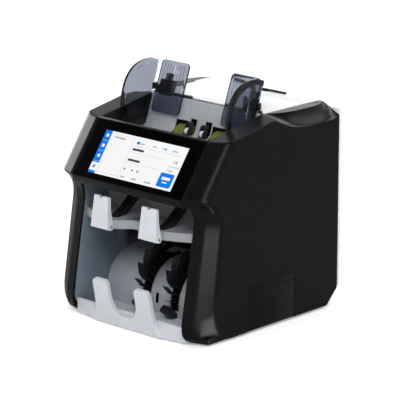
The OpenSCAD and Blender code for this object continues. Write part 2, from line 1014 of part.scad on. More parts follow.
module diverter_gate() {
    color(dark) {
        rod_x(-plate_out - 3, plate_out + 3, gate_at, shaft_r);
        along_x(8 - pocket_x, pocket_x - 8)
            polygon([
                gate_at + [-5, -3], gate_at + [0, -5.5], gate_at + [13, -9],
                gate_at + [8, 0], gate_at + [0, 5.5], gate_at + [-5, 3]
            ]);
    }
}

// Reject pocket
floor_t = 2.5;
lip_sag = 17;
function lip_curve(x) = pillar_y + 18 - lip_sag * cos(90 * x / inner_x);
lip_xs = [for (i = [-8:8]) i * inner_x / 8];
flap_play = 1.2;

module flap_spot(side) {
    translate([side * flap_x, flap_at.x, flap_at.y])
        children();
}

module reject_floor() {
    half = flap_w / 2 + flap_play;
    ear = flap_w / 2 - flap_wall - 1;
    color(pale) {
        difference() {
            union() {
                translate([0, 0, reject_z - floor_t])
                    linear_extrude(floor_t)
                        polygon(concat(
                            [for (x = lip_xs) [x, lip_curve(x)]],
                            [[inner_x, house_y + floor_t], [-inner_x, house_y + floor_t]]
                        ));
                translate([0, 0, reject_z - 9])
                    linear_extrude(12)
                        polygon(concat(
                            [for (x = lip_xs) [x, lip_curve(x)]],
                            flip([for (x = lip_xs) [x, lip_curve(x) + floor_t]])
                        ));
                box([-inner_x, house_y, reject_z - 1], [inner_x, house_y + floor_t, lip_z - gap]);
            }
            for (side = [-1, 1])
                flap_spot(side)
                    box([-half, -20, -10], [half, 7, 20]);
        }
        for (side = [-1, 1])
            flap_spot(side)
                difference() {
                    union() {
                        rod_x(-ear, ear, [0, 0], 3.8);
                        box([-ear, 0, 0], [ear, 9, 7]);
                    }
                    rod_x(-ear - 1, ear + 1, [0, 0], pin_r + running);
                }
    }
}

module reject_guides() {
    foot = reject_z;
    color(black)
        pair()
            along_x(flap_x - 6, flap_x + 6)
                polygon([
                    [house_y, foot + 23], [house_y - 14, foot + 11], [house_y - 30, foot],
                    [house_y - 50, foot], [house_y - 50, foot + 1.5], [house_y - 32, foot + 10],
                    [house_y - 16, foot + 23], [house_y, foot + 38]
                ]);
}

flap_foot = 3.5;
flap_front = 7.5;
flap_t = 3;
function flap_front_shape(d) = [
    [d - flap_w / 2, -flap_foot - 3], [flap_w / 2 - d, -flap_foot - 3],
    [flap_top_w / 2 - d, flap_h - flap_foot], [d - flap_top_w / 2, flap_h - flap_foot]
];

module flap_block(d, y0, y1) {
    translate([0, y1, 0])
        rotate([90, 0, 0])
            linear_extrude(y1 - y0)
                polygon(flap_front_shape(d));
}

module flap(side) {
    top = flap_h - flap_foot;
    color(pale)
        flap_spot(side)
            rotate([-flap_lean, 0, 0])
                difference() {
                    intersection() {
                        flap_block(0, -flap_front, 6);
                        along_x(-flap_w, flap_w)
                            polygon(concat(
                                [[-flap_front, top], [-flap_front, -flap_foot], [-3, -4.6]],
                                arc([0, 0], 5.2, -80, 30, 6),
                                [[-0.5, top * 0.55], [-3, top - 3], [-4, top]]
                            ));
                    }
                    flap_block(flap_wall, flap_t - flap_front, 7);
                    box([-3, -flap_front - 1, top - 2.5], [3, 0, top + 1]);
                    rod_x(-flap_w, flap_w, [0, 0], pin_r + running);
                }
}

module flap_left() {
    flap(-1);
}

module flap_right() {
    flap(1);
}

module flap_pins() {
    color(steel)
        for (side = [-1, 1])
            flap_spot(side)
                rod_x(-flap_w / 2 - 0.5, flap_w / 2 + 0.5, [0, 0], pin_r);
}

// Stacker pocket
tray_t = 2.5;
stop_t = 6.5;
stop_foot = 2;
stop_y = front_y + stop_h * sin(stop_lean);
stop_w = 123;
tray_lip = pillar_y + 7;
tray_lip_h = 12;
tray_lip_t = 3;
finger_out = stop_w / 2 - 9;
finger_in = finger_out - 26.7;
stop_side = [
    [stop_w / 2, 0], [finger_out + 4.5, 12], [finger_out + 1.5, 26], [finger_out + 0.5, 40],
    [finger_out, stop_h - 4], [finger_out - 3.5, stop_h],
    [finger_in + 3.2, stop_h], [finger_in, stop_h - 4],
    [finger_in - 0.8, 36], [finger_in - 5, 25], [finger_in - 14, 18]
];

module stacker_tray() {
    color(pale) {
        box([-inner_x, tray_lip, base_z], [inner_x, ramp_at.x - ramp_r - gap, base_z + tray_t]);
        translate([0, 0, stop_foot])
            linear_extrude(tray_lip_h)
                polygon([
                    [-inner_x, tray_lip], [-stop_w / 2 - 9, tray_lip - 4], [-stop_w / 2, stop_y],
                    [stop_w / 2, stop_y], [stop_w / 2 + 9, tray_lip - 4], [inner_x, tray_lip],
                    [inner_x, tray_lip + tray_lip_t], [-inner_x, tray_lip + tray_lip_t]
                ]);
        translate([0, stop_y, stop_foot])
            rotate([90 + stop_lean, 0, 0])
                translate([0, 0, -stop_t])
                    linear_extrude(stop_t)
                        polygon(concat(stop_side, flip([for (p = stop_side) [-p.x, p.y]])));
    }
}

wheel_x = 26.7;

module stacker_ramp() {
    ramp_t = 2;
    top_y = transport_at.x - 2;
    slot = wheel_w / 2 + 1.8;
    foot = [ramp_at.x - ramp_r, base_z];
    color(silver)
        difference() {
            along_x(-inner_x, inner_x)
                polygon(concat(
                    [[top_y, ramp_at.y + ramp_r]],
                    arc(ramp_at, ramp_r, 90, 180, 12),
                    [foot, foot + [ramp_t, 0]],
                    flip(arc(ramp_at, ramp_r - ramp_t, 90, 180, 12)),
                    [[top_y, ramp_at.y + ramp_r - ramp_t]]
                ));
            pair()
                box(
                    [wheel_x - slot, foot.x - 5, base_z + 11],
                    [wheel_x + slot, ramp_at.x + 22, ramp_at.y + ramp_r + 2]
                );
            box([-10, foot.x - 5, ramp_at.y - 2], [-4, foot.x + 5, ramp_at.y + 12]);
        }
}

module stacker_tongues() {
    foot = [ramp_at.x - ramp_r, base_z + tray_t];
    color(black)
        pair()
            along_x(wheel_x - 6, wheel_x + 6)
                polygon([
                    foot, foot + [0, 7], foot + [-2, 8.5], foot + [-10, 16], foot + [-16, 21],
                    foot + [-23.5, 16.5], foot + [-23, 12.5], foot + [-10, 1]
                ]);
}

module stacker_shaft() {
    color(steel) {
        rod_x(-lane_x - lane_w, plate_out + 3, stacker_at, shaft_r);
        rod_x(-lane_x - lane_w, -lane_x, stacker_at, pulley_r);
    }
}

hub_r = 12;
leaf_sweep = 55;
leaf_phase = 22;
function leaf_at(r, a, w) =
    let(b = a + leaf_phase - leaf_sweep * (r - hub_r) / (wheel_r - hub_r))
    r * [cos(b), sin(b)] + w * [-sin(b), cos(b)];

module stacker_wheels() {
    steps = 6;
    radii = [for (i = [0:steps]) hub_r - 2 + i * (wheel_r - hub_r + 2) / steps];
    color(black)
        pair()
            translate([wheel_x - wheel_w / 2, stacker_at.x, stacker_at.y])
                rotate([90, 0, 90])
                    difference() {
                        linear_extrude(wheel_w)
                            union() {
                                circle(r = hub_r);
                                for (k = [0:leaves - 1])
                                    polygon(concat(
                                        [for (r = radii) leaf_at(r, k * 360 / leaves, 0)],
                                        flip([
                                            for (r = radii)
                                            leaf_at(r, k * 360 / leaves, 0.8 + 3.6 * (1 - r / wheel_r))
                                        ])
                                    ));
                            }
                        translate([0, 0, -1])
                            cylinder(h = wheel_w + 2, r = shaft_r + press);
                    }
}

// Drives
motor_shaft_r = 3;

module motor(at, r, length) {
    color(dark)
        difference() {
            union() {
                rod_x(plate_in - length, plate_in - 2, at, r);
                rod_x(plate_in - 3, plate_in, at, r + 5);
            }
            rod_x(plate_in - 12, plate_in + 1, at, motor_shaft_r + running);
        }
}

module pulley(at) {
    color(steel) {
        rod_x(plate_in - 11, lane_x + lane_w, at, motor_shaft_r);
        rod_x(lane_x, lane_x + lane_w, at, pulley_r);
    }
}

module main_motor() {
    motor(main_motor_at, 22, 46);
}

module main_pulley() {
    pulley(main_motor_at);
}

module stacker_motor() {
    mirror([1, 0, 0])
        motor(stacker_motor_at, 16, 44);
}

module stacker_pulley() {
    mirror([1, 0, 0])
        pulley(stacker_motor_at);
}

function stadium(a, b, r) =
    let(turn = atan2(b.y - a.y, b.x - a.x))
    concat(arc(a, r, turn + 90, turn + 270, 16), arc(b, r, turn - 90, turn + 90, 16));

module belt(x0, a, b) {
    along_x(x0, x0 + belt_w)
        difference() {
            polygon(stadium(a, b, pulley_r + gap + belt_t));
            polygon(stadium(a, b, pulley_r + gap));
        }
}

module belts() {
    color(black) {
        belt(lane_x + 0.5, main_motor_at, transport_at);
        belt(lane_x + belt_w + 1, transport_at, feed_at);
        mirror([1, 0, 0])
            belt(lane_x + 3, stacker_motor_at, stacker_at);
    }
}

// Electrics
module power_supply() {
    x0 = 8 - pocket_x;
    step = (pocket_x - 20) / 6;
    color(steel)
        difference() {
            box([x0, rear_y - 84, base_z], [-8, rear_y - 26, base_z + 46]);
            for (i = [0:5])
                box(
                    [x0 + 6 + i * step, rear_y - 78, base_z + 44],
                    [x0 + 12 + i * step, rear_y - 34, base_z + 47]
                );
        }
}

module main_board() {
    x1 = pocket_x - 6;
    y0 = rear_y - 88;
    y1 = rear_y - 26;
    color(green) {
        box([2, y0, base_z + 6], [x1, y1, base_z + 7.6]);
        for (x = [8, x1 - 6])
            for (y = [y0 + 6, y1 - 6])
                translate([x, y, base_z])
                    cylinder(h = 7, r = 3);
        box([14, y0 + 12, base_z + 7], [44, y0 + 42, base_z + 10]);
        box([x1 - 38, y0 + 10, base_z + 7], [x1 - 18, y0 + 22, base_z + 18]);
        box([x1 - 38, y0 + 36, base_z + 7], [x1 - 10, y0 + 44, base_z + 15]);
    }
}

module port_block() {
    y0 = panel_y0 + 22;
    z0 = foot_h + 14;
    x1 = plate_out + 17;
    color(dark)
        difference() {
            box([plate_out, y0, z0], [x1, y0 + 52, z0 + 32]);
            box([x1 - 8, y0 + 4, z0 + 6], [x1 + 1, y0 + 20, z0 + 20]);
            box([x1 - 8, y0 + 24, z0 + 6], [x1 + 1, y0 + 32, z0 + 21]);
            box([x1 - 8, y0 + 36, z0 + 6], [x1 + 1, y0 + 48, z0 + 11]);
            box([x1 - 8, y0 + 36, z0 + 15], [x1 + 1, y0 + 48, z0 + 20]);
        }
}

cover_left();
cover_right();
screen_housing();
touch_glass();
display_module();
hopper_frame();
hopper_plate();
rear_deck();
rear_cover();
rear_door();
door_latch();
base_plate();
feet();
chassis_left();
chassis_right();
chassis_screws();
bearings();
liner_left();
liner_right();
wing_left();
wing_right();
paddle_left();
paddle_right();
slider_left();
slider_right();
guide_pinion();
guide_rail();
feed_shaft();
feed_rollers();
lever_left();
lever_right();
lever_pin();
transport_shaft();
idler_shaft();
exit_shaft();
sensor_bar_front();
sensor_bar_rear();
turn_guide();
diverter_gate();
reject_floor();
reject_guides();
flap_left();
flap_right();
flap_pins();
stacker_tray();
stacker_ramp();
stacker_tongues();
stacker_shaft();
stacker_wheels();
main_motor();
main_pulley();
stacker_motor();
stacker_pulley();
belts();
power_supply();
main_board();
power_socket();
power_switch();
port_block();
side_panel();
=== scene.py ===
"""Looks of a two-pocket banknote counter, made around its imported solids.

Sizes in the classes are millimetres in the part's own frame: X to the right, Y to the back, Z up.
"""

import json
import logging
import math
from collections.abc import Callable, Iterator, Sequence
from contextlib import contextmanager
from dataclasses import dataclass, field, replace
from enum import Enum
from functools import cache

import bpy
from mathutils import Matrix, Vector

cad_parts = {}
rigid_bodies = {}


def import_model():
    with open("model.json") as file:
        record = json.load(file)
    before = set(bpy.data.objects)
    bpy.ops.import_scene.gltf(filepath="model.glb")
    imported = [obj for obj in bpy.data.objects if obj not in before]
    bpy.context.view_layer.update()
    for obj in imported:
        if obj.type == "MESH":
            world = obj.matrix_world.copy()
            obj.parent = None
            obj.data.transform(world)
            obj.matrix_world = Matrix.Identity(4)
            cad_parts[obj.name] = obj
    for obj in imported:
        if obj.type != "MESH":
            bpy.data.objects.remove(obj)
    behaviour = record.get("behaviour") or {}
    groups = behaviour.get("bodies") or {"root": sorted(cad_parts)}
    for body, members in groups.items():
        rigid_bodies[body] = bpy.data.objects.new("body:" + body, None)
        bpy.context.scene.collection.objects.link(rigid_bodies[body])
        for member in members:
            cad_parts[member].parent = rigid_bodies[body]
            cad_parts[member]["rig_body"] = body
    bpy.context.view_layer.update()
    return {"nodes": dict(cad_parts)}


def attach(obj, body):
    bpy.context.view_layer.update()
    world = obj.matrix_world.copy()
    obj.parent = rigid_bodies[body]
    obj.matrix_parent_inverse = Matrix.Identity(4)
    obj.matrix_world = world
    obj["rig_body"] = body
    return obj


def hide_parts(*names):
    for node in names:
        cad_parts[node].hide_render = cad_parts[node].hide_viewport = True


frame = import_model()

MM = 0.001
Colour = tuple[float, float, float]
Place = tuple[float, float, float]
Span = tuple[float, float]
Piece = bpy.types.Object
Socket = bpy.types.NodeSocket
EdgeTest = Callable[[Vector, Vector, float], bool]
FaceTest = Callable[[Vector, Vector], bool]
log = logging.getLogger("banknote_counter")


class Side(Enum):
    """The two sides of the machine, as its pieces are named."""

    LEFT = "left"
    RIGHT = "right"

    @property
    def sign(self) -> float:
        """Says which way the side lies along X."""
        return 1.0 if self is Side.RIGHT else -1.0


class Slot(Enum):
    """The record's material slots."""

    SHELL = "black_plastic"
    GLASS = "touch_glass"
    DARK = "dark_plastic"
    SILVER = "silver_panel"
    DECK = "deck_panel"
    LINER = "liner_plastic"
    WHITE = "white_plastic"
    SMOKE = "smoked_plastic"
    LEVER = "lever_plastic"
    LEAF = "leaf_rubber"
    FEED = "feed_rubber"
    STEEL = "steel"
    MOTOR = "motor_paint"
    BOARD = "board"


@dataclass(frozen=True)
class Finish:
    """One surface finish: its colours, its gloss and its fine detail."""

    name: str
    slot: Slot
    colour: Colour
    shade: Colour
    gloss: Span
    cells: float = 1800.0
    stretch: Place = (1.0, 1.0, 1.0)
    depth: float = 0.02
    wear: float = 0.0
    wear_colour: Colour = (0.1, 0.1, 0.1)
    dust: float = 0.0
    metallic: float = 0.0
    specular: float = 0.5
    clear: float = 0.0
    ior: float = 1.5


class Finishes:
    """The finishes of this machine, in a maker's words, and three that carry painted shade."""

    SHELL = Finish("satin_black_shell", Slot.SHELL, (0.0028, 0.0028, 0.0029), (0.004, 0.004, 0.0042),
                   (0.26, 0.36), 2600.0, depth=0.012, wear=0.35, wear_colour=(0.05, 0.05, 0.05), dust=0.05,
                   specular=0.1)
    PANEL = replace(SHELL, name="satin_black_panel", wear=0.0, dust=0.0)
    GLASS = Finish("black_cover_glass", Slot.GLASS, (0.0006, 0.0006, 0.0007), (0.0009, 0.0009, 0.001),
                   (0.07, 0.12), 700.0, depth=0.002, specular=0.02)
    DARK = Finish("dark_moulding", Slot.DARK, (0.006, 0.006, 0.0066), (0.009, 0.009, 0.0096), (0.42, 0.54),
                  2200.0, wear=0.3, wear_colour=(0.06, 0.06, 0.06), specular=0.18)
    SILVER = Finish("silver_paint", Slot.SILVER, (0.40, 0.425, 0.45), (0.36, 0.385, 0.41), (0.36, 0.46),
                    3200.0, depth=0.008, wear=0.4, wear_colour=(0.55, 0.56, 0.57))
    RAMP = Finish("grey_ramp_paint", Slot.SILVER, (0.40, 0.43, 0.47), (0.36, 0.39, 0.43), (0.38, 0.48),
                  2800.0, depth=0.01, wear=0.3, wear_colour=(0.6, 0.61, 0.62))
    DECK = Finish("light_silver_deck", Slot.DECK, (0.87, 0.885, 0.9), (0.83, 0.845, 0.86), (0.32, 0.42),
                  2600.0, depth=0.01, wear=0.25, wear_colour=(0.62, 0.63, 0.64), dust=0.04)
    LINER = Finish("slate_liner", Slot.LINER, (0.155, 0.205, 0.25), (0.135, 0.18, 0.22), (0.36, 0.48),
                   2200.0, depth=0.014, wear=0.25, wear_colour=(0.3, 0.34, 0.38))
    WHITE = Finish("cool_white_moulding", Slot.WHITE, (0.65, 0.68, 0.725), (0.615, 0.645, 0.69), (0.38, 0.5),
                   2000.0, depth=0.01, wear=0.25, wear_colour=(0.6, 0.61, 0.62))
    SMOKE = Finish("smoked_clear", Slot.SMOKE, (0.345, 0.375, 0.45), (0.32, 0.35, 0.42), (0.03, 0.06), 60.0,
                   depth=0.001, clear=1.0, ior=1.22, specular=0.06)
    # Painted shade: near-black opaque edges for the dark outline of the smoked plates and the dark rim of the right
    # wing.
    SMOKE_EDGE_SHADE = Finish("smoked_edge_painted_shade", Slot.SMOKE, (0.006, 0.0065, 0.008), (0.01, 0.0105, 0.013), (0.12, 0.2),
                        1200.0, depth=0.004, specular=0.3)
    # Painted shade: a darker tint on the groove floors, for the dark stripes that the ribs show.
    SMOKE_RIB_SHADE = replace(SMOKE, name="smoked_rib_painted_shade", colour=(0.2, 0.22, 0.27), shade=(0.19, 0.205, 0.25))
    # Painted shade: the white moulding of the reject floor in a mid grey, for the shade it lies in under the screen
    # and flaps.
    POCKET_SHADE = Finish("pocket_grey_painted_shade", Slot.WHITE, (0.29, 0.305, 0.325), (0.27, 0.28, 0.30), (0.42, 0.55),
                    2000.0, depth=0.012)
    LEVER = Finish("black_lever", Slot.LEVER, (0.006, 0.006, 0.0065), (0.009, 0.009, 0.0095), (0.34, 0.46),
                   2400.0, wear=0.35, wear_colour=(0.05, 0.05, 0.05), specular=0.35)
    LEAF = Finish("black_leaf_rubber", Slot.LEAF, (0.003, 0.003, 0.0032), (0.006, 0.006, 0.0064), (0.5, 0.66),
                  1500.0, depth=0.03, specular=0.22)
    FEED = Finish("olive_feed_rubber", Slot.FEED, (0.17, 0.2, 0.025), (0.13, 0.155, 0.02), (0.55, 0.7),
                  1600.0, depth=0.04, wear=0.3, wear_colour=(0.25, 0.27, 0.1))
    STEEL = Finish("zinc_steel", Slot.STEEL, (0.5, 0.51, 0.52), (0.42, 0.43, 0.44), (0.24, 0.42), 1200.0,
                   (0.08, 1.0, 1.0), 0.012, wear=0.4, wear_colour=(0.7, 0.7, 0.7), metallic=1.0)
    MOTOR = Finish("black_can_paint", Slot.MOTOR, (0.02, 0.02, 0.022), (0.028, 0.028, 0.03), (0.3, 0.42),
                   1800.0, wear=0.5, wear_colour=(0.25, 0.25, 0.25))
    BOARD = Finish("green_board", Slot.BOARD, (0.012, 0.11, 0.045), (0.008, 0.075, 0.03), (0.28, 0.4), 1100.0,
                   depth=0.02)


class Tree:
    """A shader node tree that is being wired up."""

    def __init__(self, tree: bpy.types.NodeTree) -> None:
        """Takes the tree over and empties it."""
        self.tree = tree
        tree.nodes.clear()

    @classmethod
    def of(cls, owner: bpy.types.Material | bpy.types.World) -> "Tree":
        """Returns the emptied tree of a new material or world."""
        owner.use_nodes = True
        return cls(owner.node_tree)

    def add(self, kind: str, inputs: dict | None = None, **settings: object) -> bpy.types.Node:
        """Adds a node.

        Args:
            kind: The node's type.
            inputs: Values or sockets for its inputs, by name or place.
            settings: Its own properties.

        Returns:
            The new node.
        """
        node = self.tree.nodes.new(kind)
        for name, value in settings.items():
            setattr(node, name, value)
        for name, value in (inputs or {}).items():
            if isinstance(value, Socket):
                self.tree.links.new(value, node.inputs[name])
            else:
                node.inputs[name].default_value = value
        return node

    def end(self, shader: bpy.types.Node, kind: str = "ShaderNodeOutputMaterial") -> None:
        """Wires a shader to the tree's output."""
        self.add(kind, {"Surface": shader.outputs[0]})

    def place(self) -> Socket:
        """Returns the place on the piece."""
        return self.add("ShaderNodeTexCoord").outputs["Object"]

    def math(self, operation: str, a: object, b: object) -> Socket:
        """Returns a of b under one arithmetic operation."""
        return self.add("ShaderNodeMath", {0: a, 1: b}, operation=operation).outputs[0]

    def noise(self, vector: Socket, scale: object, detail: float) -> Socket:
        """Returns a noise value from 0 to 1."""
        inputs = {"Vector": vector, "Scale": scale, "Detail": detail, "Roughness": 0.55}
        return self.add("ShaderNodeTexNoise", inputs).outputs["Fac"]

    def span(self, value: object, source: Span, target: Span = (0.0, 1.0)) -> Socket:
        """Returns value carried from the source span to the target span, clamped."""
        inputs = {"Value": value, "From Min": source[0], "From Max": source[1],
                  "To Min": target[0], "To Max": target[1]}
        return self.add("ShaderNodeMapRange", inputs, clamp=True).outputs["Result"]

    def mix(self, factor: object, a: object, b: object) -> Socket:
        """Returns a colour between a and b."""
        return self.add("ShaderNodeMix", {0: factor, 6: a, 7: b}, data_type="RGBA").outputs[2]


class SurfaceEffects:
    """The shader effects that the finishes share, each made once as a node group."""

    def __init__(self) -> None:
        """Builds the groups."""
        self.grain = self._grain()
        self.wear = self._wear()
        self.dust = self._dust()

    @staticmethod
    def _group(name: str, inputs: dict[str, str], *outputs: str) -> tuple[Tree, dict[str, Socket]]:
        """Starts a group.

        Args:
            name: The group's name.
            inputs: Kinds of socket by input name.
            outputs: Names of the value outputs.

        Returns:
            The tree and its input sockets by name.
        """
        group = bpy.data.node_groups.new(name, "ShaderNodeTree")
        for label, kind in inputs.items():
            group.interface.new_socket(label, in_out="INPUT", socket_type="NodeSocket" + kind)
        for label in outputs:
            group.interface.new_socket(label, in_out="OUTPUT", socket_type="NodeSocketFloat")
        tree = Tree(group)
        start = tree.add("NodeGroupInput")
        return tree, {label: start.outputs[label] for label in inputs}

    def _grain(self) -> bpy.types.NodeTree:
        """Returns the group for moulded or brushed grain, mottling and uneven gloss."""
        sockets = {"Vector": "Vector", "Cells": "Float", "Stretch": "Vector"}
        tree, at = self._group("moulded_grain", sockets, "Height", "Mottle", "Gloss")
        drawn = tree.add("ShaderNodeVectorMath", {0: at["Vector"], 1: at["Stretch"]}, operation="MULTIPLY").outputs[0]
        broad = tree.noise(drawn, tree.math("MULTIPLY", at["Cells"], 0.02), 4.0)
        hazy = tree.noise(at["Vector"], 34.0, 3.0)
        tree.add("NodeGroupOutput", {"Height": tree.noise(drawn, at["Cells"], 3.0),
                                     "Mottle": tree.span(broad, (0.32, 0.68)),
                                     "Gloss": tree.span(hazy, (0.3, 0.7))})
        return tree.tree

    def _mask(self, tree: Tree, at: dict[str, Socket], where: object, patches: object) -> None:
        """Ends a group with a mask.

        Args:
            tree: The group's tree.
            at: Its input sockets by name.
            where: Where the effect lies.
            patches: The patches it breaks into.
        """
        both = tree.math("MULTIPLY", where, patches)
        tree.add("NodeGroupOutput", {"Mask": tree.math("MULTIPLY", both, at["Amount"])})

    def _wear(self) -> bpy.types.NodeTree:
        """Returns the group for rubbed edges."""
        tree, at = self._group("edge_wear", {"Vector": "Vector", "Amount": "Float"}, "Mask")
        edge = tree.span(tree.add("ShaderNodeNewGeometry").outputs["Pointiness"], (0.53, 0.62))
        self._mask(tree, at, edge, tree.span(tree.noise(at["Vector"], 220.0, 4.0), (0.42, 0.66)))
        return tree.tree

    def _dust(self) -> bpy.types.NodeTree:
        """Returns the group for dust on faces that look up."""
        tree, at = self._group("settled_dust", {"Vector": "Vector", "Amount": "Float"}, "Mask")
        normal = tree.add("ShaderNodeNewGeometry").outputs["Normal"]
        flat = tree.span(tree.add("ShaderNodeSeparateXYZ", {0: normal}).outputs["Z"], (0.7, 1.0))
        self._mask(tree, at, flat, tree.span(tree.noise(at["Vector"], 600.0, 5.0), (0.45, 0.8)))
        return tree.tree


class Paintshop:
    """Makes each finish's material once and hands it out."""

    dust_colour: Colour = (0.5, 0.5, 0.5)

    def __init__(self) -> None:
        """Sets up the shared effects."""
        self.effects = SurfaceEffects()

    @cache
    def material(self, finish: Finish) -> bpy.types.Material:
        """Gets a finish's material, which is built on first use.

        Args:
            finish: The finish.

        Returns:
            Its material.
        """
        material = bpy.data.materials.new(finish.name)
        tree = Tree.of(material)
        place = tree.place()
        grain = tree.add("ShaderNodeGroup", {"Vector": place, "Cells": finish.cells, "Stretch": finish.stretch},
                         node_tree=self.effects.grain).outputs
        colour = tree.mix(grain["Mottle"], (*finish.colour, 1.0), (*finish.shade, 1.0))
        for group, amount, tint in ((self.effects.wear, finish.wear, finish.wear_colour),
                                    (self.effects.dust, finish.dust, self.dust_colour)):
            if amount:
                mask = tree.add("ShaderNodeGroup", {"Vector": place, "Amount": amount}, node_tree=group)
                colour = tree.mix(mask.outputs["Mask"], colour, (*tint, 1.0))
        bump = tree.add("ShaderNodeBump", {"Height": grain["Height"], "Strength": 0.6, "Distance": finish.depth * MM})
        tree.end(tree.add("ShaderNodeBsdfPrincipled", {
            "Base Color": colour, "Roughness": tree.span(grain["Gloss"], (0.0, 1.0), finish.gloss),
            "Normal": bump.outputs["Normal"], "Metallic": finish.metallic, "IOR": finish.ior,
            "Specular IOR Level": finish.specular, "Transmission Weight": finish.clear}))
        return material

    @staticmethod
    def lit_ink(name: str, colour: Colour) -> bpy.types.Material:
        """Makes a lit colour of the display, with its pixel rows and an uneven backlight.

        Args:
            name: The material's name.
            colour: The colour shown.

        Returns:
            The new material.
        """
        material = bpy.data.materials.new(name)
        tree = Tree.of(material)
        place = tree.place()
        rows = tree.add("ShaderNodeTexWave", {"Vector": place, "Scale": 900.0}, bands_direction="X")
        level = tree.math("MULTIPLY", tree.span(rows.outputs["Fac"], (0.0, 1.0), (0.97, 1.0)),
                          tree.span(tree.noise(place, 12.0, 2.0), (0.3, 0.7), (0.96, 1.0)))
        shown = tree.mix(level, (0.0, 0.0, 0.0, 1.0), (*colour, 1.0))
        tree.end(tree.add("ShaderNodeBsdfPrincipled", {
            "Base Color": (0.001, 0.001, 0.001, 1.0), "Roughness": 0.3, "Specular IOR Level": 0.02,
            "Emission Color": shown, "Emission Strength": 1.0}))
        return material


class Bench:
    """Modelling by hand: selecting in code and working with Blender's own operators."""

    merge_gap: float = 0.005
    flat_turn: float = 0.4
    sharp_turn: float = 32.0

    @staticmethod
    def pick(*pieces: Piece) -> None:
        """Selects some pieces alone.

        Args:
            pieces: The pieces, the one to make active first.
        """
        bpy.ops.object.select_all(action="DESELECT")
        for piece in pieces:
            piece.select_set(True)
        bpy.context.view_layer.objects.active = pieces[0]

    @staticmethod
    @contextmanager
    def editing(everything: bool = False) -> Iterator[None]:
        """Opens the active piece for editing, for as long as the block lasts.

        Args:
            everything: Whether all of it is selected first.
        """
        bpy.ops.object.mode_set(mode="EDIT")
        if everything:
            bpy.ops.mesh.select_all(action="SELECT")
        yield
        bpy.ops.object.mode_set(mode="OBJECT")

    @staticmethod
    def apply(piece: Piece, kind: str, **settings: object) -> None:
        """Works a piece over with a modifier and applies it.

        Args:
            piece: The piece.
            kind: The modifier's type.
            settings: Its own properties.
        """
        Bench.pick(piece)
        modifier = piece.modifiers.new(kind.lower(), kind)
        for name, value in settings.items():
            setattr(modifier, name, value)
        bpy.ops.object.modifier_apply(modifier=modifier.name)

    @staticmethod
    def join(*pieces: Piece) -> None:
        """Joins pieces into the first one."""
        Bench.pick(*pieces)
        bpy.ops.object.join()

    @staticmethod
    def fresh(add: Callable[..., set[str]], **settings: object) -> Piece:
        """Adds something new with nothing else selected.

        Args:
            add: The operator that adds it.
            settings: The operator's settings.

        Returns:
            The new piece.
        """
        bpy.ops.object.select_all(action="DESELECT")
        add(**settings)
        return bpy.context.active_object

    @staticmethod
    def clear(mesh: bpy.types.Mesh) -> None:
        """Takes the selection off every part of a mesh."""
        for part in (mesh.vertices, mesh.edges, mesh.polygons):
            part.foreach_set("select", [False] * len(part))

    @staticmethod
    def copy(node: str, name: str = "") -> Piece:
        """Copies a solid's mesh into a new piece, merges its corners and clears its flat faces of lines.

        Args:
            node: The solid's name.
            name: The new piece's name, where it isn't the finished form of the solid.

        Returns:
            The new piece, at the origin.
        """
        piece = bpy.data.objects.new(name or node + "_finished", frame["nodes"][node].data.copy())
        piece.data.materials.clear()
        bpy.context.scene.collection.objects.link(piece)
        Bench.pick(piece)
        with Bench.editing(everything=True):
            bpy.ops.mesh.remove_doubles(threshold=Bench.merge_gap * MM)
            bpy.ops.mesh.dissolve_limited(angle_limit=math.radians(Bench.flat_turn))
        return piece

    @staticmethod
    def soften(piece: Piece, width: float, segments: int = 2) -> None:
        """Rounds every edge that turns sharply.

        Args:
            piece: The piece.
            width: Width of the rounding in millimetres.
            segments: Steps across it.
        """
        Bench.apply(piece, "BEVEL", width=width * MM, segments=segments, limit_method="ANGLE",
                    angle_limit=math.radians(Bench.sharp_turn))

    @staticmethod
    def round_edges(piece: Piece, width: float, segments: int, test: EdgeTest) -> None:
        """Rounds the edges that a test picks.

        Args:
            piece: The piece.
            width: Width of the rounding in millimetres.
            segments: Steps across it.
            test: Says yes or no to an edge's two ends, in millimetres, and its turn in degrees.
        """
        mesh = piece.data
        sides: dict[tuple[int, int], list[Vector]] = {}
        for face in mesh.polygons:
            for key in face.edge_keys:
                sides.setdefault(key, []).append(face.normal)
        Bench.clear(mesh)
        for edge in mesh.edges:
            normals = sides.get(tuple(sorted(edge.vertices)), [])
            if len(normals) == 2:
                turn = math.degrees(normals[0].angle(normals[1], 0.0))
                a, b = (mesh.vertices[i].co / MM for i in edge.vertices)
                edge.select = test(a, b, turn)
        Bench.pick(piece)
        bpy.context.tool_settings.mesh_select_mode = (False, True, False)
        with Bench.editing():
            bpy.ops.mesh.bevel(offset=width * MM, segments=segments, profile=0.5, clamp_overlap=True)

    @staticmethod
    def loft(name: str, rings: Sequence[Sequence[Vector]]) -> Piece:
        """Draws a closed body through rings of equal count, from a filled circle extruded ring by ring.

        Args:
            name: The piece's name.
            rings: Places in millimetres, ring by ring.

        Returns:
            The new body, at the origin.
        """
        body = Bench.fresh(bpy.ops.mesh.primitive_circle_add, vertices=len(rings[0]), radius=1.0, fill_type="NGON")
        body.name = name
        ring = list(range(len(rings[0])))
        for step, spots in enumerate(rings):
            if step:
                last = [tuple(body.data.vertices[i].co) for i in ring]
                with Bench.editing():
                    bpy.ops.mesh.extrude_region_move()
                fresh = {tuple(v.co): v.index for v in body.data.vertices if v.select}
                ring = [fresh[spot] for spot in last]
            for index, spot in zip(ring, spots):
                body.data.vertices[index].co = spot * MM
        with Bench.editing(everything=True):
            bpy.ops.mesh.normals_make_consistent(inside=False)
        return body

    @staticmethod
    def reshape(piece: Piece, rule: Callable[[Vector], Vector]) -> None:
        """Moves each corner of a piece by a rule in millimetres."""
        for corner in piece.data.vertices:
            corner.co = rule(corner.co / MM) * MM

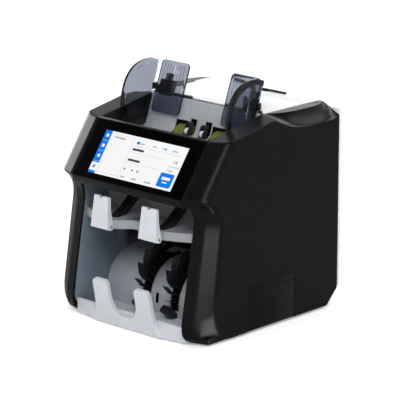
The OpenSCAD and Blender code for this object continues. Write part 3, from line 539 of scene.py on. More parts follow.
    @staticmethod
    def slice(piece: Piece, places: Sequence[float], along: Vector = Vector((1.0, 0.0, 0.0))) -> None:
        """Cuts lines across a piece, so that it can be bent.

        Args:
            piece: The piece.
            places: Where the lines lie, in millimetres.
            along: The direction they are counted in.
        """
        Bench.pick(piece)
        with Bench.editing():
            for place in places:
                bpy.ops.mesh.select_all(action="SELECT")
                bpy.ops.mesh.bisect(plane_co=along * place * MM, plane_no=along)

    @staticmethod
    def block(name: str, low: Sequence[float], high: Sequence[float], soft: float = 0.0) -> Piece:
        """Makes a block between two corners, with rounded edges.

        Args:
            name: The piece's name.
            low: Its low corner in millimetres.
            high: Its high corner.
            soft: Width of its edge rounding.

        Returns:
            The new block, at the origin.
        """
        block = Bench.fresh(bpy.ops.mesh.primitive_cube_add, size=1.0)
        block.name = name
        block.scale = (Vector(high) - Vector(low)) * MM
        block.location = (Vector(high) + Vector(low)) / 2 * MM
        bpy.ops.object.transform_apply(location=True, rotation=False, scale=True)
        if soft:
            Bench.soften(block, soft, 3)
        return block

    @staticmethod
    def cut(piece: Piece, tool: Piece) -> None:
        """Cuts a tool's form out of a piece and puts the tool away."""
        Bench.apply(piece, "BOOLEAN", operation="DIFFERENCE", solver="EXACT", object=tool)
        bpy.data.objects.remove(tool)

    @staticmethod
    def hollow(piece: Piece, wall: float, test: FaceTest) -> None:
        """Opens the faces that a test picks and gives the rest a wall that grows inwards.

        Args:
            piece: A closed body.
            wall: Wall thickness in millimetres.
            test: Says yes or no to a face's middle, in millimetres, and its normal.
        """
        Bench.clear(piece.data)
        for face in piece.data.polygons:
            face.select = test(face.center / MM, face.normal)
        Bench.pick(piece)
        bpy.context.tool_settings.mesh_select_mode = (False, False, True)
        with Bench.editing():
            bpy.ops.mesh.delete(type="FACE")
        Bench.apply(piece, "SOLIDIFY", thickness=wall * MM, offset=-1.0)

    @staticmethod
    def even_out(piece: Piece) -> None:
        """Weights a piece's shading by face area, so that flat faces stay flat beside their roundings."""
        Bench.apply(piece, "WEIGHTED_NORMAL", keep_sharp=True)

    @staticmethod
    def smooth(piece: Piece, angle: float) -> None:
        """Shades a piece smooth across edges that turn by less than an angle in degrees."""
        Bench.pick(piece)
        bpy.ops.object.shade_smooth_by_angle(angle=math.radians(angle))

    @staticmethod
    def settle(piece: Piece, place: Matrix) -> None:
        """Puts a piece in its place and bakes that place into its mesh.

        Args:
            piece: The piece.
            place: Its place.
        """
        piece.matrix_world = place
        Bench.pick(piece)
        bpy.ops.object.transform_apply(location=True, rotation=True, scale=True)


@dataclass
class Assembly:
    """A group of pieces that are built and dressed together."""

    paint: Paintshop
    smooth_angle: float = 36.0

    def wear(self, piece: Piece, finish: Finish, body: str, *nodes: str) -> Piece:
        """Gives a piece its finish and its body, and hides the solids it stands for.

        Args:
            piece: The piece.
            finish: Its finish.
            body: The body it moves with.
            nodes: The solids it replaces.

        Returns:
            The same piece.
        """
        if not piece.data.materials:
            piece.data.materials.append(self.paint.material(finish))
        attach(piece, body)
        if nodes:
            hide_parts(*nodes)
        log.info("%s rides on %s in %s", piece.name, body, finish.name)
        return piece

    def stand_in(self, piece: Piece, finish: Finish, node: str, angle: float = Bench.sharp_turn) -> Piece:
        """Smooths a piece across small turns, lets it stand for a solid on that solid's body, and returns it."""
        Bench.smooth(piece, angle)
        return self.wear(piece, finish, frame["nodes"][node]["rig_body"], node)

    def dress(self, node: str, finish: Finish, width: float = 0.3, segments: int = 2) -> Piece:
        """Makes the finished form of a solid, with softened edges.

        Args:
            node: The solid.
            finish: Its finish.
            width: Width of its edge rounding in millimetres.
            segments: Steps across the rounding.

        Returns:
            The finished piece.
        """
        piece = Bench.copy(node)
        Bench.soften(piece, width, segments)
        return self.stand_in(piece, finish, node, self.smooth_angle)

    def repaint(self, piece: Piece, finish: Finish, test: FaceTest) -> None:
        """Gives some faces of a piece another finish.

        Args:
            piece: The piece.
            finish: The other finish.
            test: Says yes or no to a face's middle, in millimetres, and its normal.
        """
        piece.data.materials.append(self.paint.material(finish))
        place = len(piece.data.materials) - 1
        for face in piece.data.polygons:
            if test(face.center / MM, face.normal):
                face.material_index = place


@dataclass(frozen=True)
class Form:
    """A plain block between two corners, counted outwards from the middle, and its edge rounding."""

    name: str
    low: Place
    high: Place
    soft: float = 0.0

    def make(self, side: Side = Side.RIGHT) -> Piece:
        """Returns the block on one side of the machine."""
        ends = sorted((side.sign * self.low[0], side.sign * self.high[0]))
        return Bench.block(self.name, (ends[0], *self.low[1:]), (ends[1], *self.high[1:]), self.soft)


@dataclass(frozen=True)
class PillarCorner:
    """A corner of a pillar's front in side view, and how it moves across the pillar."""

    y: float
    z: float
    radius: float
    rim_back: float
    low_back: float
    low_up: float = 0.0
    low_radius: float = 0.0

    def at(self, rim: float, low: float) -> Place:
        """Returns its place and radius at a share across the front and a share of the set-back."""
        return (self.y + self.rim_back * rim + self.low_back * low, self.z + self.low_up * low,
                self.radius + self.low_radius * low)


@dataclass
class SideCover(Assembly):
    """A hollow side cover with its pillar, screen column, splayed front, round rear and carry scoop."""

    smooth_angle: float = 19.0
    side: Side = Side.RIGHT
    pocket_x: float = 104.0
    pocket_steps: tuple[float, ...] = (0.0, 1.0, 2.0, 3.5, 5.0, 8.0, 11.0)
    screen_x: float = 106.5
    rim_x: float = 118.5
    side_x: float = 135.0
    screen: Span = (-138.1, 201.0)
    screen_tilt: float = 36.0
    side_fall: float = 10.0
    hopper_y: float = 20.9
    rear_y: float = 147.0
    rear_cut: float = 22.0
    foot_z: float = 3.0
    deck_z: float = 291.0
    chin_back: float = 10.5
    chin_round: Span = (3.0, 3.5)
    brow_back: float = 9.0
    brow_round: float = 7.0
    rear_round: float = 5.0
    deck_rounds: Span = (12.0, 14.0)
    round_steps: int = 9
    round_room: float = 0.96
    pillar: tuple[PillarCorner, ...] = (
        PillarCorner(-111.0, 184.0, 42.0, 4.0, 14.0, -5.0), PillarCorner(-139.0, 33.0, 60.0, 7.0, 23.5, 16.0),
        PillarCorner(-140.0, foot_z, 24.0, 7.0, 26.0, low_radius=14.0))
    ridge: float = 11.0
    ridge_steps: int = 11
    rim_edge: float = 2.2
    soft_rim: float = 2.4
    soft_screen: float = 1.0
    side_shares: Span = (1.22, 1.9)
    edge: float = 2.6
    rear_edge: float = 4.5
    wall: float = 3.0
    left_share: float = 0.45
    plinth: Form = Form("plinth", (104.3, -125.5, foot_z), (131.8, -55.0, 11.0), 0.5)
    plinth_skew: float = 9.5
    panel: Form = Form("panel_tool", (95.0, -43.4, -1.0), (137.0, 54.2, 67.3))
    scoop_steps: int = 12
    scoop_power: float = 1.65
    scoop_spare: Place = (0.02, 5.0, 6.0)
    scoop: tuple[Place, ...] = (
        (9.5, 0.4, 0.2), (12.0, 6.0, 1.6), (16.0, 18.0, 4.0), (20.0, 29.5, 6.2), (24.0, 31.0, 8.2),
        (28.0, 29.5, 10.0), (32.0, 27.2, 11.8), (37.0, 24.2, 13.9), (45.0, 20.0, 16.4), (54.0, 16.6, 18.2),
        (66.0, 14.2, 20.0), (78.0, 13.0, 21.2), (92.0, 12.6, 21.8), (105.0, 12.8, 21.9), (117.0, 14.4, 21.7),
        (125.0, 17.0, 21.3), (132.0, 21.0, 20.6), (138.0, 26.0, 19.8), (143.0, 30.0, 18.7), (149.0, 31.0, 17.4))

    def build(self) -> None:
        """Builds the cover."""
        node = f"cover_{self.side.value}"
        cover = Bench.loft(node + "_finished", self._rings())
        Bench.cut(cover, Bench.loft("scoop_tool", self._scoop_rings()))
        low, (_x, high, top) = self.panel.low[1], self.panel.high
        level, close = 0.99, 0.01
        if self.side is Side.RIGHT:
            Bench.cut(cover, self.panel.make())

        def is_open(middle: Vector, normal: Vector) -> bool:
            """Says whether a face lies on the pocket side or on a wall of the panel opening."""
            across = abs(normal.y) > level and min(abs(middle.y - low), abs(middle.y - high)) < close
            above = normal.z < -level and abs(middle.z - top) < close
            return abs(abs(middle.x) - self.pocket_x) < close or across or above

        Bench.hollow(cover, self.wall, is_open)
        Bench.join(cover, self._plinth())
        self.stand_in(cover, Finishes.SHELL, node, self.smooth_angle)
        Bench.even_out(cover)

    def _plinth(self) -> Piece:
        """Returns the low plinth under the cover's foot, its front set back towards the side."""
        plinth = self.plinth.make(self.side)
        middle = (self.plinth.low[1] + self.plinth.high[1]) / 2

        def skew(spot: Vector) -> Vector:
            """Returns a corner's new place, with the front moved back towards the side."""
            share = (abs(spot.x) - self.pocket_x) / (self.plinth.high[0] - self.pocket_x)
            return spot + Vector((0.0, self.plinth_skew * share if spot.y < middle else 0.0, 0.0))

        Bench.reshape(plinth, skew)
        return plinth

    def _profile(self, rim: float, low: float, high: float) -> list[Vector]:
        """Returns the cover's side view with rounded corners.

        Args:
            rim: How far across the pillar's front the view lies, from 0 at the pocket to 1 at its outer rim.
            low: How far the pillar is set back, from 0 at its rim to 1 at the side.
            high: How far the screen column is set back, from 0 at the glass to 1 at the side.

        Returns:
            Places in Y and Z, counter-clockwise.
        """
        fall, lean = (math.tan(math.radians(angle)) for angle in (self.side_fall, self.screen_tilt))
        chin_y, chin_z = self.screen[0] + self.chin_back * high, self.screen[1]
        face = self.screen[0] + self.brow_back * high
        brow = (face + (self.deck_z - self.hopper_y * fall - chin_z) * lean) / (1.0 - fall * lean)
        return self._rounded((
            (self.rear_y - self.rear_cut, self.foot_z, self.rear_round),
            (self.rear_y, self.foot_z + self.rear_cut, self.rear_round),
            (self.rear_y, self.deck_z, self.deck_rounds[0]), (self.hopper_y, self.deck_z, self.deck_rounds[1]),
            (brow, self.deck_z - (self.hopper_y - brow) * fall, self.brow_round),
            (chin_y, chin_z, self.chin_round[0] + self.chin_round[1] * high),
            *(corner.at(rim, low) for corner in self.pillar)))

    def _rounded(self, corners: Sequence[Place]) -> list[Vector]:
        """Returns a closed outline with each corner rounded.

        Args:
            corners: Each corner's two places and its radius.

        Returns:
            The outline's places.
        """
        count, spots = len(corners), [Vector(corner[:2]) for corner in corners]
        want = []
        for i, here in enumerate(spots):
            turn = (spots[i - 1] - here).angle(spots[(i + 1) % count] - here)
            want.append(corners[i][2] / math.tan(turn / 2))
        room = [self.round_room * (spots[(i + 1) % count] - here).length / (want[i] + want[(i + 1) % count])
                for i, here in enumerate(spots)]
        outline = []
        for i, here in enumerate(spots):
            reach = want[i] * min(1.0, room[i - 1], room[i])
            start = here + (spots[i - 1] - here).normalized() * reach
            end = here + (spots[(i + 1) % count] - here).normalized() * reach
            for k in range(self.round_steps + 1):
                t = k / self.round_steps
                outline.append(start * (1 - t) ** 2 + here * (2 * t * (1 - t)) + end * t ** 2)
        return outline

    def _inset(self, outline: Sequence[Vector], depth: float) -> list[Vector]:
        """Returns an outline moved inwards by a depth, and further along the rear edge.

        Args:
            outline: The outline's places.
            depth: How far it moves.

        Returns:
            The new places.
        """
        moved = []
        for i, spot in enumerate(outline):
            along = (outline[(i + 1) % len(outline)] - outline[i - 1]).normalized()
            more = 1.0 + (self.rear_edge / self.edge - 1.0) * max(0.0, along.y) ** 2
            moved.append(spot + Vector((-along.y, along.x)) * depth * more)
        return moved

    def _rings(self) -> list[list[Vector]]:
        """Returns the cover's rings from the pocket out to the side."""
        last = self.ridge_steps
        places = [self.pocket_x + k for k in self.pocket_steps]
        places += [self.rim_x + k * self.soft_rim / 3 for k in range(-3, 4)]
        places += [self.side_x - self.ridge * (1 - k / last) ** 2 for k in range(last + 1)]
        share = self.left_share if self.side is Side.LEFT else 1.0
        rings = []
        for x in sorted(places):
            rim = min(1.0, (x - self.pocket_x) / (self.rim_x - self.pocket_x))
            low = self._set_back(x, self.rim_x, self.soft_rim, self.rim_edge, self.side_shares[0])
            high = self._set_back(x, self.screen_x, self.soft_screen, self.ridge, self.side_shares[1])
            over = max(0.0, (x - self.side_x + self.edge) / self.edge)
            depth = self.edge * (1 - math.sqrt(max(0.0, 1 - over ** 2)))
            rings.append([Vector((self.side.sign * x, spot.x, spot.y))
                          for spot in self._inset(self._profile(share * rim, share * low, high), depth)])
        return rings

    def _set_back(self, x: float, start: float, soft: float, ridge: float, last: float) -> float:
        """Returns how far a front is set back at a place across, 0 at its start and about 1 at the side.

        Args:
            x: The place across.
            start: Where the splay starts.
            soft: Half the width of the soft bend at its start.
            ridge: Width of the rounded ridge at the side.
            last: The share reached on the side itself.

        Returns:
            The share of the full set-back.
        """
        splay = self.side_x - start
        if x < start + soft:
            return max(0.0, x - start + soft) ** 2 / (4.0 * soft * splay)
        if x < self.side_x - ridge:
            return (x - start) / splay
        t = 1.0 - math.sqrt((self.side_x - x) / ridge)
        return (1 - ridge / splay) * (1 - t) ** 2 + 2 * t * (1 - t) + last * t ** 2

    def _scoop_rings(self) -> list[list[Vector]]:
        """Returns the rings of the tool that cuts the carry scoop, from the front to the rear."""
        skin, out, over = self.scoop_spare
        turns = [math.radians(90.0 * k / self.scoop_steps) for k in range(self.scoop_steps + 1)]
        rings = []
        for y, wide, deep in self.scoop:
            section = [(self.side_x + skin - wide * max(0.0, math.cos(turn)) ** self.scoop_power,
                        self.deck_z + skin - deep * math.sin(turn) ** self.scoop_power) for turn in turns]
            section += [(self.side_x + out, self.deck_z - deep), (self.side_x + out, self.deck_z + over),
                        (self.side_x - wide, self.deck_z + over)]
            rings.append([Vector((self.side.sign * x, y, z)) for x, z in section])
        return rings


@dataclass
class Shell(Assembly):
    """Side covers, side panel, rear cover, rear door, deck, base and feet."""

    strip: Form = Form("corner_strip", (102.0, 147.1, 27.0), (134.6, 151.4, 282.4), 1.6)
    # Painted shade: a dark sheet behind the vents, for the dark inside of the machine seen through them.
    vents: Form = Form("vent_screen", (14.0, 146.9, 25.0), (86.0, 148.1, 86.0), 0.3)
    rear_wall_y: float = 148.0

    def build(self) -> None:
        """Builds the shell's pieces."""
        for side in Side:
            SideCover(self.paint, side=side).build()
        self.dress("side_panel", Finishes.PANEL, 0.5)
        self.dress("rear_deck", Finishes.DECK, 0.5)
        self._rear()
        self.dress("rear_door", Finishes.DECK, 0.6)
        self.dress("door_latch", Finishes.DARK, 0.6)
        self.dress("base_plate", Finishes.STEEL)
        self.dress("feet", Finishes.LEAF, 0.8)

    def _rear(self) -> None:
        """Builds the rear cover with two strips that close the side covers, and a dark screen behind its vents as
        painted shade for the machine's dark inside.
        """
        piece = Bench.copy("rear_cover")
        Bench.soften(piece, 0.6)
        Bench.join(piece, *[self.strip.make(side) for side in Side], self.vents.make())
        self.stand_in(piece, Finishes.DECK, "rear_cover")
        # The screen behind the vents is painted dark, as painted shade.
        self.repaint(piece, Finishes.DARK, self._on_screen)

    def _on_screen(self, middle: Vector, _normal: Vector) -> bool:
        """Says whether a face of the rear cover lies on the screen behind the vents.

        Args:
            middle: The face's middle.

        Returns:
            Whether it does.
        """
        low, high = self.vents.low, self.vents.high
        spare, behind, before, level = 1.0, 0.1, 0.05, 0.02
        beside = all(low[i] - spare < middle[i] < high[i] + spare for i in (0, 2))
        return (beside and low[1] - behind < middle.y < high[1] + before
                and abs(middle.y - self.rear_wall_y) > level)


@dataclass(frozen=True)
class Block:
    """A coloured block of the display's picture, from its upper left corner."""

    u: float
    v: float
    w: float
    h: float
    ink: str
    corner: float = 0.0
    lift: int = 1


@dataclass
class Screen(Assembly):
    """Screen housing, touch glass, display and its lit picture."""

    foot: Span = (-138.1, 201.0)
    tilt: float = 36.0
    length: float = 87.84
    glass_height: float = 84.8
    lit: Span = (155.0, 64.2)
    lit_top: float = 12.8
    film: float = 0.04
    ledge_y: float = -81.5
    ledge_z: float = 266.0
    ledge_fall: float = 1.1
    facing: Span = (-0.75, 0.5)
    inks: dict[str, Colour] = field(default_factory=lambda: {
        "page": (0.96, 0.97, 0.98), "blue": (0.004, 0.2, 0.85), "line": (0.55, 0.56, 0.58),
        "text": (0.06, 0.065, 0.075), "soft": (0.42, 0.44, 0.47)})

    def build(self) -> None:
        """Builds the screen's pieces."""
        self._housing()
        self.dress("touch_glass", Finishes.GLASS, 0.5, 3)
        self.dress("display_module", Finishes.STEEL)
        self._picture()

    def _housing(self) -> None:
        """Builds the housing with a narrow ledge behind the glass that falls away into the hopper."""
        piece = Bench.copy("screen_housing")
        Bench.slice(piece, [self.ledge_y], Vector((0.0, 1.0, 0.0)))

        def drop(spot: Vector) -> Vector:
            """Returns a corner's new place, with the ledge's rear dropped."""
            past = max(0.0, spot.y - self.ledge_y) if spot.z > self.ledge_z else 0.0
            return spot - Vector((0.0, 0.0, past * self.ledge_fall))

        Bench.reshape(piece, drop)
        Bench.soften(piece, 0.6, 3)
        self.stand_in(piece, Finishes.SHELL, "screen_housing")
        front, top = self.facing
        self.repaint(piece, Finishes.GLASS, lambda _middle, normal: normal.y < front and normal.z > top)

    def _blocks(self) -> list[Block]:
        """Returns the blocks of a plain count page."""
        wide, high = self.lit
        blocks = [Block(0, 0, wide, high, "page", lift=0), Block(0, 0, 12.4, high, "blue"),
                  Block(0, 48.6, 12.4, 12.0, "page", lift=2)]
        for v in (5.2, 20.6, 36.0):
            blocks += [Block(4.0, v, 4.6, 4.6, "page", 0.8, 2), Block(1.6, v + 10.2, 9.2, 0.35, "page", lift=2)]
        blocks.append(Block(4.4, 52.2, 4.0, 4.4, "blue", 0.8, 3))
        blocks += self._outline(15.0, 3.2, 41.0, 57.4)
        blocks.append(Block(20.0, 6.4, 20.0, 2.2, "soft", 0.4, 2))
        for u, w in ((62.0, 21.0), (86.0, 15.0), (104.0, 15.0), (122.0, 24.0)):
            blocks += [Block(u, 13.4, w, 0.4, "soft"), Block(u + w - 0.4, 9.0, 0.4, 4.4, "line"),
                       Block(u + 7.0, 8.0, w * 0.4, 1.8, "soft", 0.3)]
        blocks += [Block(62.6, 6.6, 5.6, 4.0, "blue", 0.4), Block(115.5, 7.0, 2.4, 3.4, "blue", 0.4)]
        for v, w in ((17.0, 21.0), (32.6, 22.0)):
            blocks += [Block(60.0, v, w, 3.2, "text", 0.4), Block(60.0, v + 6.0, 62.0, 0.4, "line")]
        blocks += [Block(132.0, 30.0, 20.0, 1.2, "line")]
        for u in (60.0, 74.0, 84.0):
            blocks.append(Block(u, 46.6, 2.4, 2.8, "text", 0.3))
        for u, w in ((60.0, 7.0), (80.0, 9.0), (104.0, 12.0)):
            blocks.append(Block(u, 58.6, w, 2.0, "soft", 0.3))
        blocks += [Block(126.0, 40.6, 25.0, 20.4, "blue", 2.2), Block(131.0, 46.4, 15.0, 4.0, "page", 0.5, 2),
                   Block(134.0, 53.2, 9.0, 1.8, "page", 0.4, 2)]
        return blocks

    @staticmethod
    def _outline(u: float, v: float, w: float, h: float) -> list[Block]:
        """Draws a thin frame of four lines.

        Args:
            u: Its left edge.
            v: Its top edge.
            w: Its width.
            h: Its height.

        Returns:
            The lines.
        """
        line = 0.4
        return [Block(u, v, w, line, "line"), Block(u, v + h, w, line, "line"),
                Block(u, v, line, h, "line"), Block(u + w, v, line, h, "line")]

    def _place(self) -> Matrix:
        """Returns the frame of the lit area: its upper left corner, with X across, Y up the glass and Z out."""
        top = (self.length + self.glass_height) / 2 - self.lit_top
        base = Matrix.Translation(Vector((0.0, *self.foot)) * MM)
        turn = Matrix.Rotation(math.radians(90.0 - self.tilt), 4, "X")
        return base @ turn @ Matrix.Translation(Vector((-self.lit[0] / 2, top, 0.0)) * MM)

    def _picture(self) -> None:
        """Builds the picture as one thin printed piece on the glass."""
        inks = {name: self.paint.lit_ink("lit_" + name, colour) for name, colour in self.inks.items()}
        sheets = [self._sheet(block, inks[block.ink]) for block in self._blocks()]
        sheets += [self._number("128", 138.0, 25.4, 5.6, inks["text"]),
                   self._number("2 560", 132.6, 38.0, 4.6, inks["text"])]
        Bench.join(*sheets)
        picture = sheets[0]
        picture.name = "display_picture"
        Bench.settle(picture, self._place())
        self.wear(picture, Finishes.GLASS, "machine")

    def _sheet(self, block: Block, ink: bpy.types.Material) -> Piece:
        """Makes one block as a thin sheet with rounded corners.

        Args:
            block: The block.
            ink: Its lit colour.

        Returns:
            The sheet, flat at the origin's height.
        """
        middle = Vector((block.u + block.w / 2, -block.v - block.h / 2, 0.0)) * MM
        sheet = Bench.fresh(bpy.ops.mesh.primitive_plane_add, size=1.0, location=middle)
        sheet.scale = (block.w * MM, block.h * MM, 1.0)
        bpy.ops.object.transform_apply(location=True, rotation=True, scale=True)
        with Bench.editing(everything=True):
            if block.corner:
                bpy.ops.mesh.bevel(offset=block.corner * MM, segments=4, affect="VERTICES")
                bpy.ops.mesh.select_all(action="SELECT")
            bpy.ops.mesh.extrude_region_move(
                TRANSFORM_OT_translate={"value": (0.0, 0.0, self.film * (block.lift + 1) * MM)})
            bpy.ops.mesh.select_all(action="SELECT")
            bpy.ops.mesh.normals_make_consistent(inside=False)
        sheet.data.materials.append(ink)
        return sheet

    def _number(self, text: str, u: float, v: float, size: float, ink: bpy.types.Material) -> Piece:
        """Makes a plain number as a thin mesh.

        Args:
            text: The digits.
            u: Left edge on the page.
            v: Base line below the page's top.
            size: Height of the type.
            ink: Its lit colour.

        Returns:
            The number's mesh.
        """
        number = Bench.fresh(bpy.ops.object.text_add, location=Vector((u, -v, self.film * 2)) * MM)
        number.data.body = text
        number.data.size = size * MM
        number.data.extrude = self.film / 2 * MM
        number.data.resolution_u = 3
        bpy.ops.object.convert(target="MESH")
        bpy.ops.object.transform_apply(location=True, rotation=True, scale=True)
        number = bpy.context.active_object
        number.data.materials.clear()
        number.data.materials.append(ink)
        return number


@dataclass
class Hopper(Assembly):
    """Hopper tub, centring guides, feed rollers and press levers."""

    top: Span = (20.9, 291.0)
    lean: float = 20.0
    paddle_out: float = 91.5
    paddle_size: Place = (52.0, 3.2, 74.5)
    paddle_foot: float = -27.5
    paddle_back: float = -4.0
    paddle_edge: float = 0.5
    corner: float = 6.0
    ribs: int = 8
    groove_margin: float = 5.0
    groove_share: Span = (0.3, 0.4)
    groove_depth: float = 0.35
    groove_floor: float = 0.2
    wing_centre: Span = (13.9, 270.0)
    rim_face: float = 99.2
    wall_front: Span = (101.0, -60.0)
    wall_top: float = 268.0
    wall_run: Span = (-13.0, -2.3)
    press_down: float = 48.4
    press_axle: Span = (-5.5, 6.0)
    press_radii: Span = (4.0, 5.3)
    press_x: Span = (14.0, 2.7)
    slider_cuts: tuple[Form, ...] = (Form("top_tool", (60.0, -6.0, 19.0), (96.0, 6.0, 60.0)),
                                     Form("side_tool", (88.2, -6.0, 10.0), (95.02, 6.0, 60.0)))
    slider_forms: tuple[Form, ...] = (Form("slider_block", (63.5, -3.9, -2.0), (88.0, 4.0, 20.0), 1.0),
                                      Form("slider_knob", (71.0, -2.4, 18.0), (82.0, 2.8, 29.5), 2.2))

    def build(self) -> None:
        """Builds the hopper's pieces."""
        self._tub()
        self.dress("hopper_plate", Finishes.SILVER)
        for side in Side:
            wing = self.dress(f"wing_{side.value}", Finishes.SMOKE, 0.5)
            # The wing's outer edge faces and the right wing's rim take painted shade.
            self.repaint(wing, Finishes.SMOKE_EDGE_SHADE, self._on_edge)
            self._paddle(side)
            self._slider(side)
            self._white_roller(self.dress(f"lever_{side.value}", Finishes.LEVER, 0.4))
        self.dress("guide_pinion", Finishes.WHITE, 0.2)
        self.dress("guide_rail", Finishes.STEEL)
        self.dress("feed_shaft", Finishes.STEEL, 0.4)
        self.dress("feed_rollers", Finishes.FEED, 0.5)
        self.dress("lever_pin", Finishes.STEEL, 0.4)

    def _on_edge(self, middle: Vector, normal: Vector) -> bool:
        """Says whether a wing's face lies on its outer edge, or on the rim of the right wing, where painted shade
        goes.
        """
        out = Vector((0.0, middle.y - self.wing_centre[0], middle.z - self.wing_centre[1]))
        return middle.x > self.rim_face or (abs(normal.x) < 0.6 and out.dot(normal) > 0.0)

    def _tub(self) -> None:
        """Builds the tub with its side walls run on to the screen."""
        piece = Bench.copy("hopper_frame")
        inner, front = self.wall_front
        ahead, down = self.wall_run

        def run_on(spot: Vector) -> Vector:
            """Returns a corner's new place, with the front of the side walls moved forward."""
            if spot.y < front and abs(spot.x) > inner:
                return spot + Vector((0.0, ahead, down if spot.z > self.wall_top else 0.0))
            return spot

        Bench.reshape(piece, run_on)
        self.stand_in(piece, Finishes.DARK, "hopper_frame")

    def _frame(self) -> Matrix:
        """Returns the frame of the hopper's back: X across, Y into the back, Z up along it."""
        return (Matrix.Translation(Vector((0.0, *self.top)) * MM)
                @ Matrix.Rotation(math.radians(-self.lean), 4, "X"))

    def _slider(self, side: Side) -> None:
        """Builds a slider with a low broad block and a finger knob.

        Args:
            side: The slider's side.
        """
        node = f"slider_{side.value}"
        piece = Bench.copy(node)

        def make(form: Form) -> Piece:
            """Returns a block in the hopper back's frame, on the slider's side."""
            block = form.make(side)
            Bench.settle(block, self._frame())
            return block

        for form in self.slider_cuts:
            Bench.cut(piece, make(form))
        Bench.join(piece, *[make(form) for form in self.slider_forms])
        self.stand_in(piece, Finishes.LEVER, node)

    def _white_roller(self, lever: Piece) -> None:
        """Paints the press roller on a lever white.

        Args:
            lever: The lever.
        """
        lean, (inner, outer), (middle_x, reach) = math.radians(self.lean), self.press_radii, self.press_x
        bend = Vector((0.0, self.top[0] - self.press_down * math.sin(lean),
                       self.top[1] - self.press_down * math.cos(lean)))
        axle = bend + Vector((0.0, *self.press_axle))

        def on_roller(middle: Vector, _normal: Vector) -> bool:
            """Says whether a face lies on the roller's drum."""
            around = inner < math.hypot(middle.y - axle.y, middle.z - axle.z) < outer
            return around and abs(abs(middle.x) - middle_x) < reach

        self.repaint(lever, Finishes.WHITE, on_roller)

    def _paddle(self, side: Side) -> None:
        """Builds a ribbed paddle with rounded corners.

        Args:
            side: The paddle's side.
        """
        node = f"paddle_{side.value}"
        wide, thick, high = self.paddle_size
        half = Vector(self.paddle_size) / 2
        plate = Bench.block(node + "_finished", -half, half)
        Bench.round_edges(plate, self.corner, 6, lambda a, b, turn: abs(a.y - b.y) > thick / 2)
        Bench.round_edges(plate, self.paddle_edge, 2, lambda a, b, turn: abs(a.y - b.y) < 0.01 and turn > 60.0)
        margin, (start, share) = self.groove_margin, self.groove_share
        step = (wide - 2 * margin) / self.ribs
        for i in range(self.ribs):
            left = margin + (i + start) * step - wide / 2
            Bench.cut(plate, Bench.block("groove_tool", (left, -thick, margin - high / 2),
                                         (left + share * step, self.groove_depth - thick / 2, high / 2 - margin)))
        middle = (side.sign * (self.paddle_out - wide / 2), self.paddle_back - thick / 2,
                  self.paddle_foot + high / 2)
        place = self._frame() @ Matrix.Translation(Vector(middle) * MM)
        Bench.settle(plate, place)
        self.stand_in(plate, Finishes.SMOKE, node)
        back = place.inverted()
        turned = back.to_3x3()

        def in_groove(spot: Vector, normal: Vector) -> bool:
            """Says whether a face is a groove's floor."""
            return (turned @ normal).y < -0.9 and (back @ (spot * MM)).y / MM > self.groove_floor - thick / 2

        def on_rim(spot: Vector, normal: Vector) -> bool:
            """Says whether a face lies on the paddle's outer edge."""
            here = back @ (spot * MM) / MM
            outer = abs(here.x) > wide / 2 - self.corner - 0.1 or abs(here.z) > high / 2 - self.corner - 0.1
            return abs((turned @ normal).y) < 0.5 and outer

        # The groove floors take a darker tint of painted shade.
        self.repaint(plate, Finishes.SMOKE_RIB_SHADE, in_groove)
        # The paddle's outer edge takes painted shade.
        self.repaint(plate, Finishes.SMOKE_EDGE_SHADE, on_rim)


@dataclass
class RejectPocket(Assembly):
    """Reject floor, flaps, guides and the pocket's liners."""

    flap_place: Place = (45.0, -137.1, 140.0)
    flap_lean: float = 6.0
    flap_half: float = 16.5
    flap_top: float = 36.0
    flap_rear: float = -5.0
    flap_front: float = -7.4
    flap_more: float = 1.9
    flap_edge: float = 1.5
    back_y: float = -112.0
    bay_half: float = 28.0
    bay_depth: float = 19.0
    bay_pitch: float = 4.0
    end_x: Span = (63.0, 104.0)
    end_depth: float = 9.0
    end_power: float = 1.3
    end_lines: Span = (64.0, 5.0)

    def build(self) -> None:
        """Builds the reject pocket's pieces."""
        self._floor()
        self.dress("reject_guides", Finishes.LEVER, 1.2, 3)
        for side in Side:
            self._flap(side)
            self.dress(f"liner_{side.value}", Finishes.LINER, 0.4)
        self.dress("flap_pins", Finishes.STEEL, 0.4)

    def _floor(self) -> None:
        """Builds the reject floor with its wavy lip."""
        piece = Bench.copy("reject_floor")
        first, pitch = self.end_lines
        start, end = self.end_x
        Bench.slice(piece, [self.bay_pitch * k for k in range(-7, 8)]
                    + [side.sign * (first + pitch * k) for side in Side for k in range(8)])

        def wave(spot: Vector) -> Vector:
            """Returns a corner's new place, with the lip drawn back between the flaps and at the walls."""
            out, moved = abs(spot.x), 0.0
            if spot.y <= self.back_y and out < self.bay_half:
                moved = self.bay_depth * math.cos(math.pi * out / (2.0 * self.bay_half)) ** 2
            elif spot.y <= self.back_y:
                moved = self.end_depth * (max(0.0, out - start) / (end - start)) ** self.end_power
            return spot + Vector((0.0, moved, 0.0))

        Bench.reshape(piece, wave)
        # The reject floor's white plastic takes the grey of painted shade.
        self.stand_in(piece, Finishes.POCKET_SHADE, "reject_floor")

    def _flap(self, side: Side) -> None:
        """Builds a flap with a full thick top and rounded edges.

        Args:
            side: The flap's side.
        """
        node = f"flap_{side.value}"
        x, y, z = self.flap_place
        place = Matrix.Translation((side.sign * x, y, z)) @ Matrix.Rotation(math.radians(-self.flap_lean), 4, "X")
        back = place.inverted()
        piece = Bench.copy(node)

        def thicken(spot: Vector) -> Vector:
            """Returns a corner's new place, with the top's back edge moved back."""
            here = back @ spot
            if here.z > self.flap_top and here.y > self.flap_rear:
                here.y += self.flap_more
            return place @ here

        def is_outer(a: Vector, b: Vector, turn: float) -> bool:
            """Says whether an edge is a long one on the flap's outside."""
            first, last = back @ a, back @ b
            beside = min(abs(first.x), abs(last.x)) > self.flap_half - 0.1
            before = max(first.y, last.y) < self.flap_front
            return turn > 40.0 and (b - a).length > 6.0 and (beside or before)

        Bench.reshape(piece, thicken)
        Bench.round_edges(piece, self.flap_edge, 4, is_outer)
        self.stand_in(piece, Finishes.WHITE, node, 40.0)


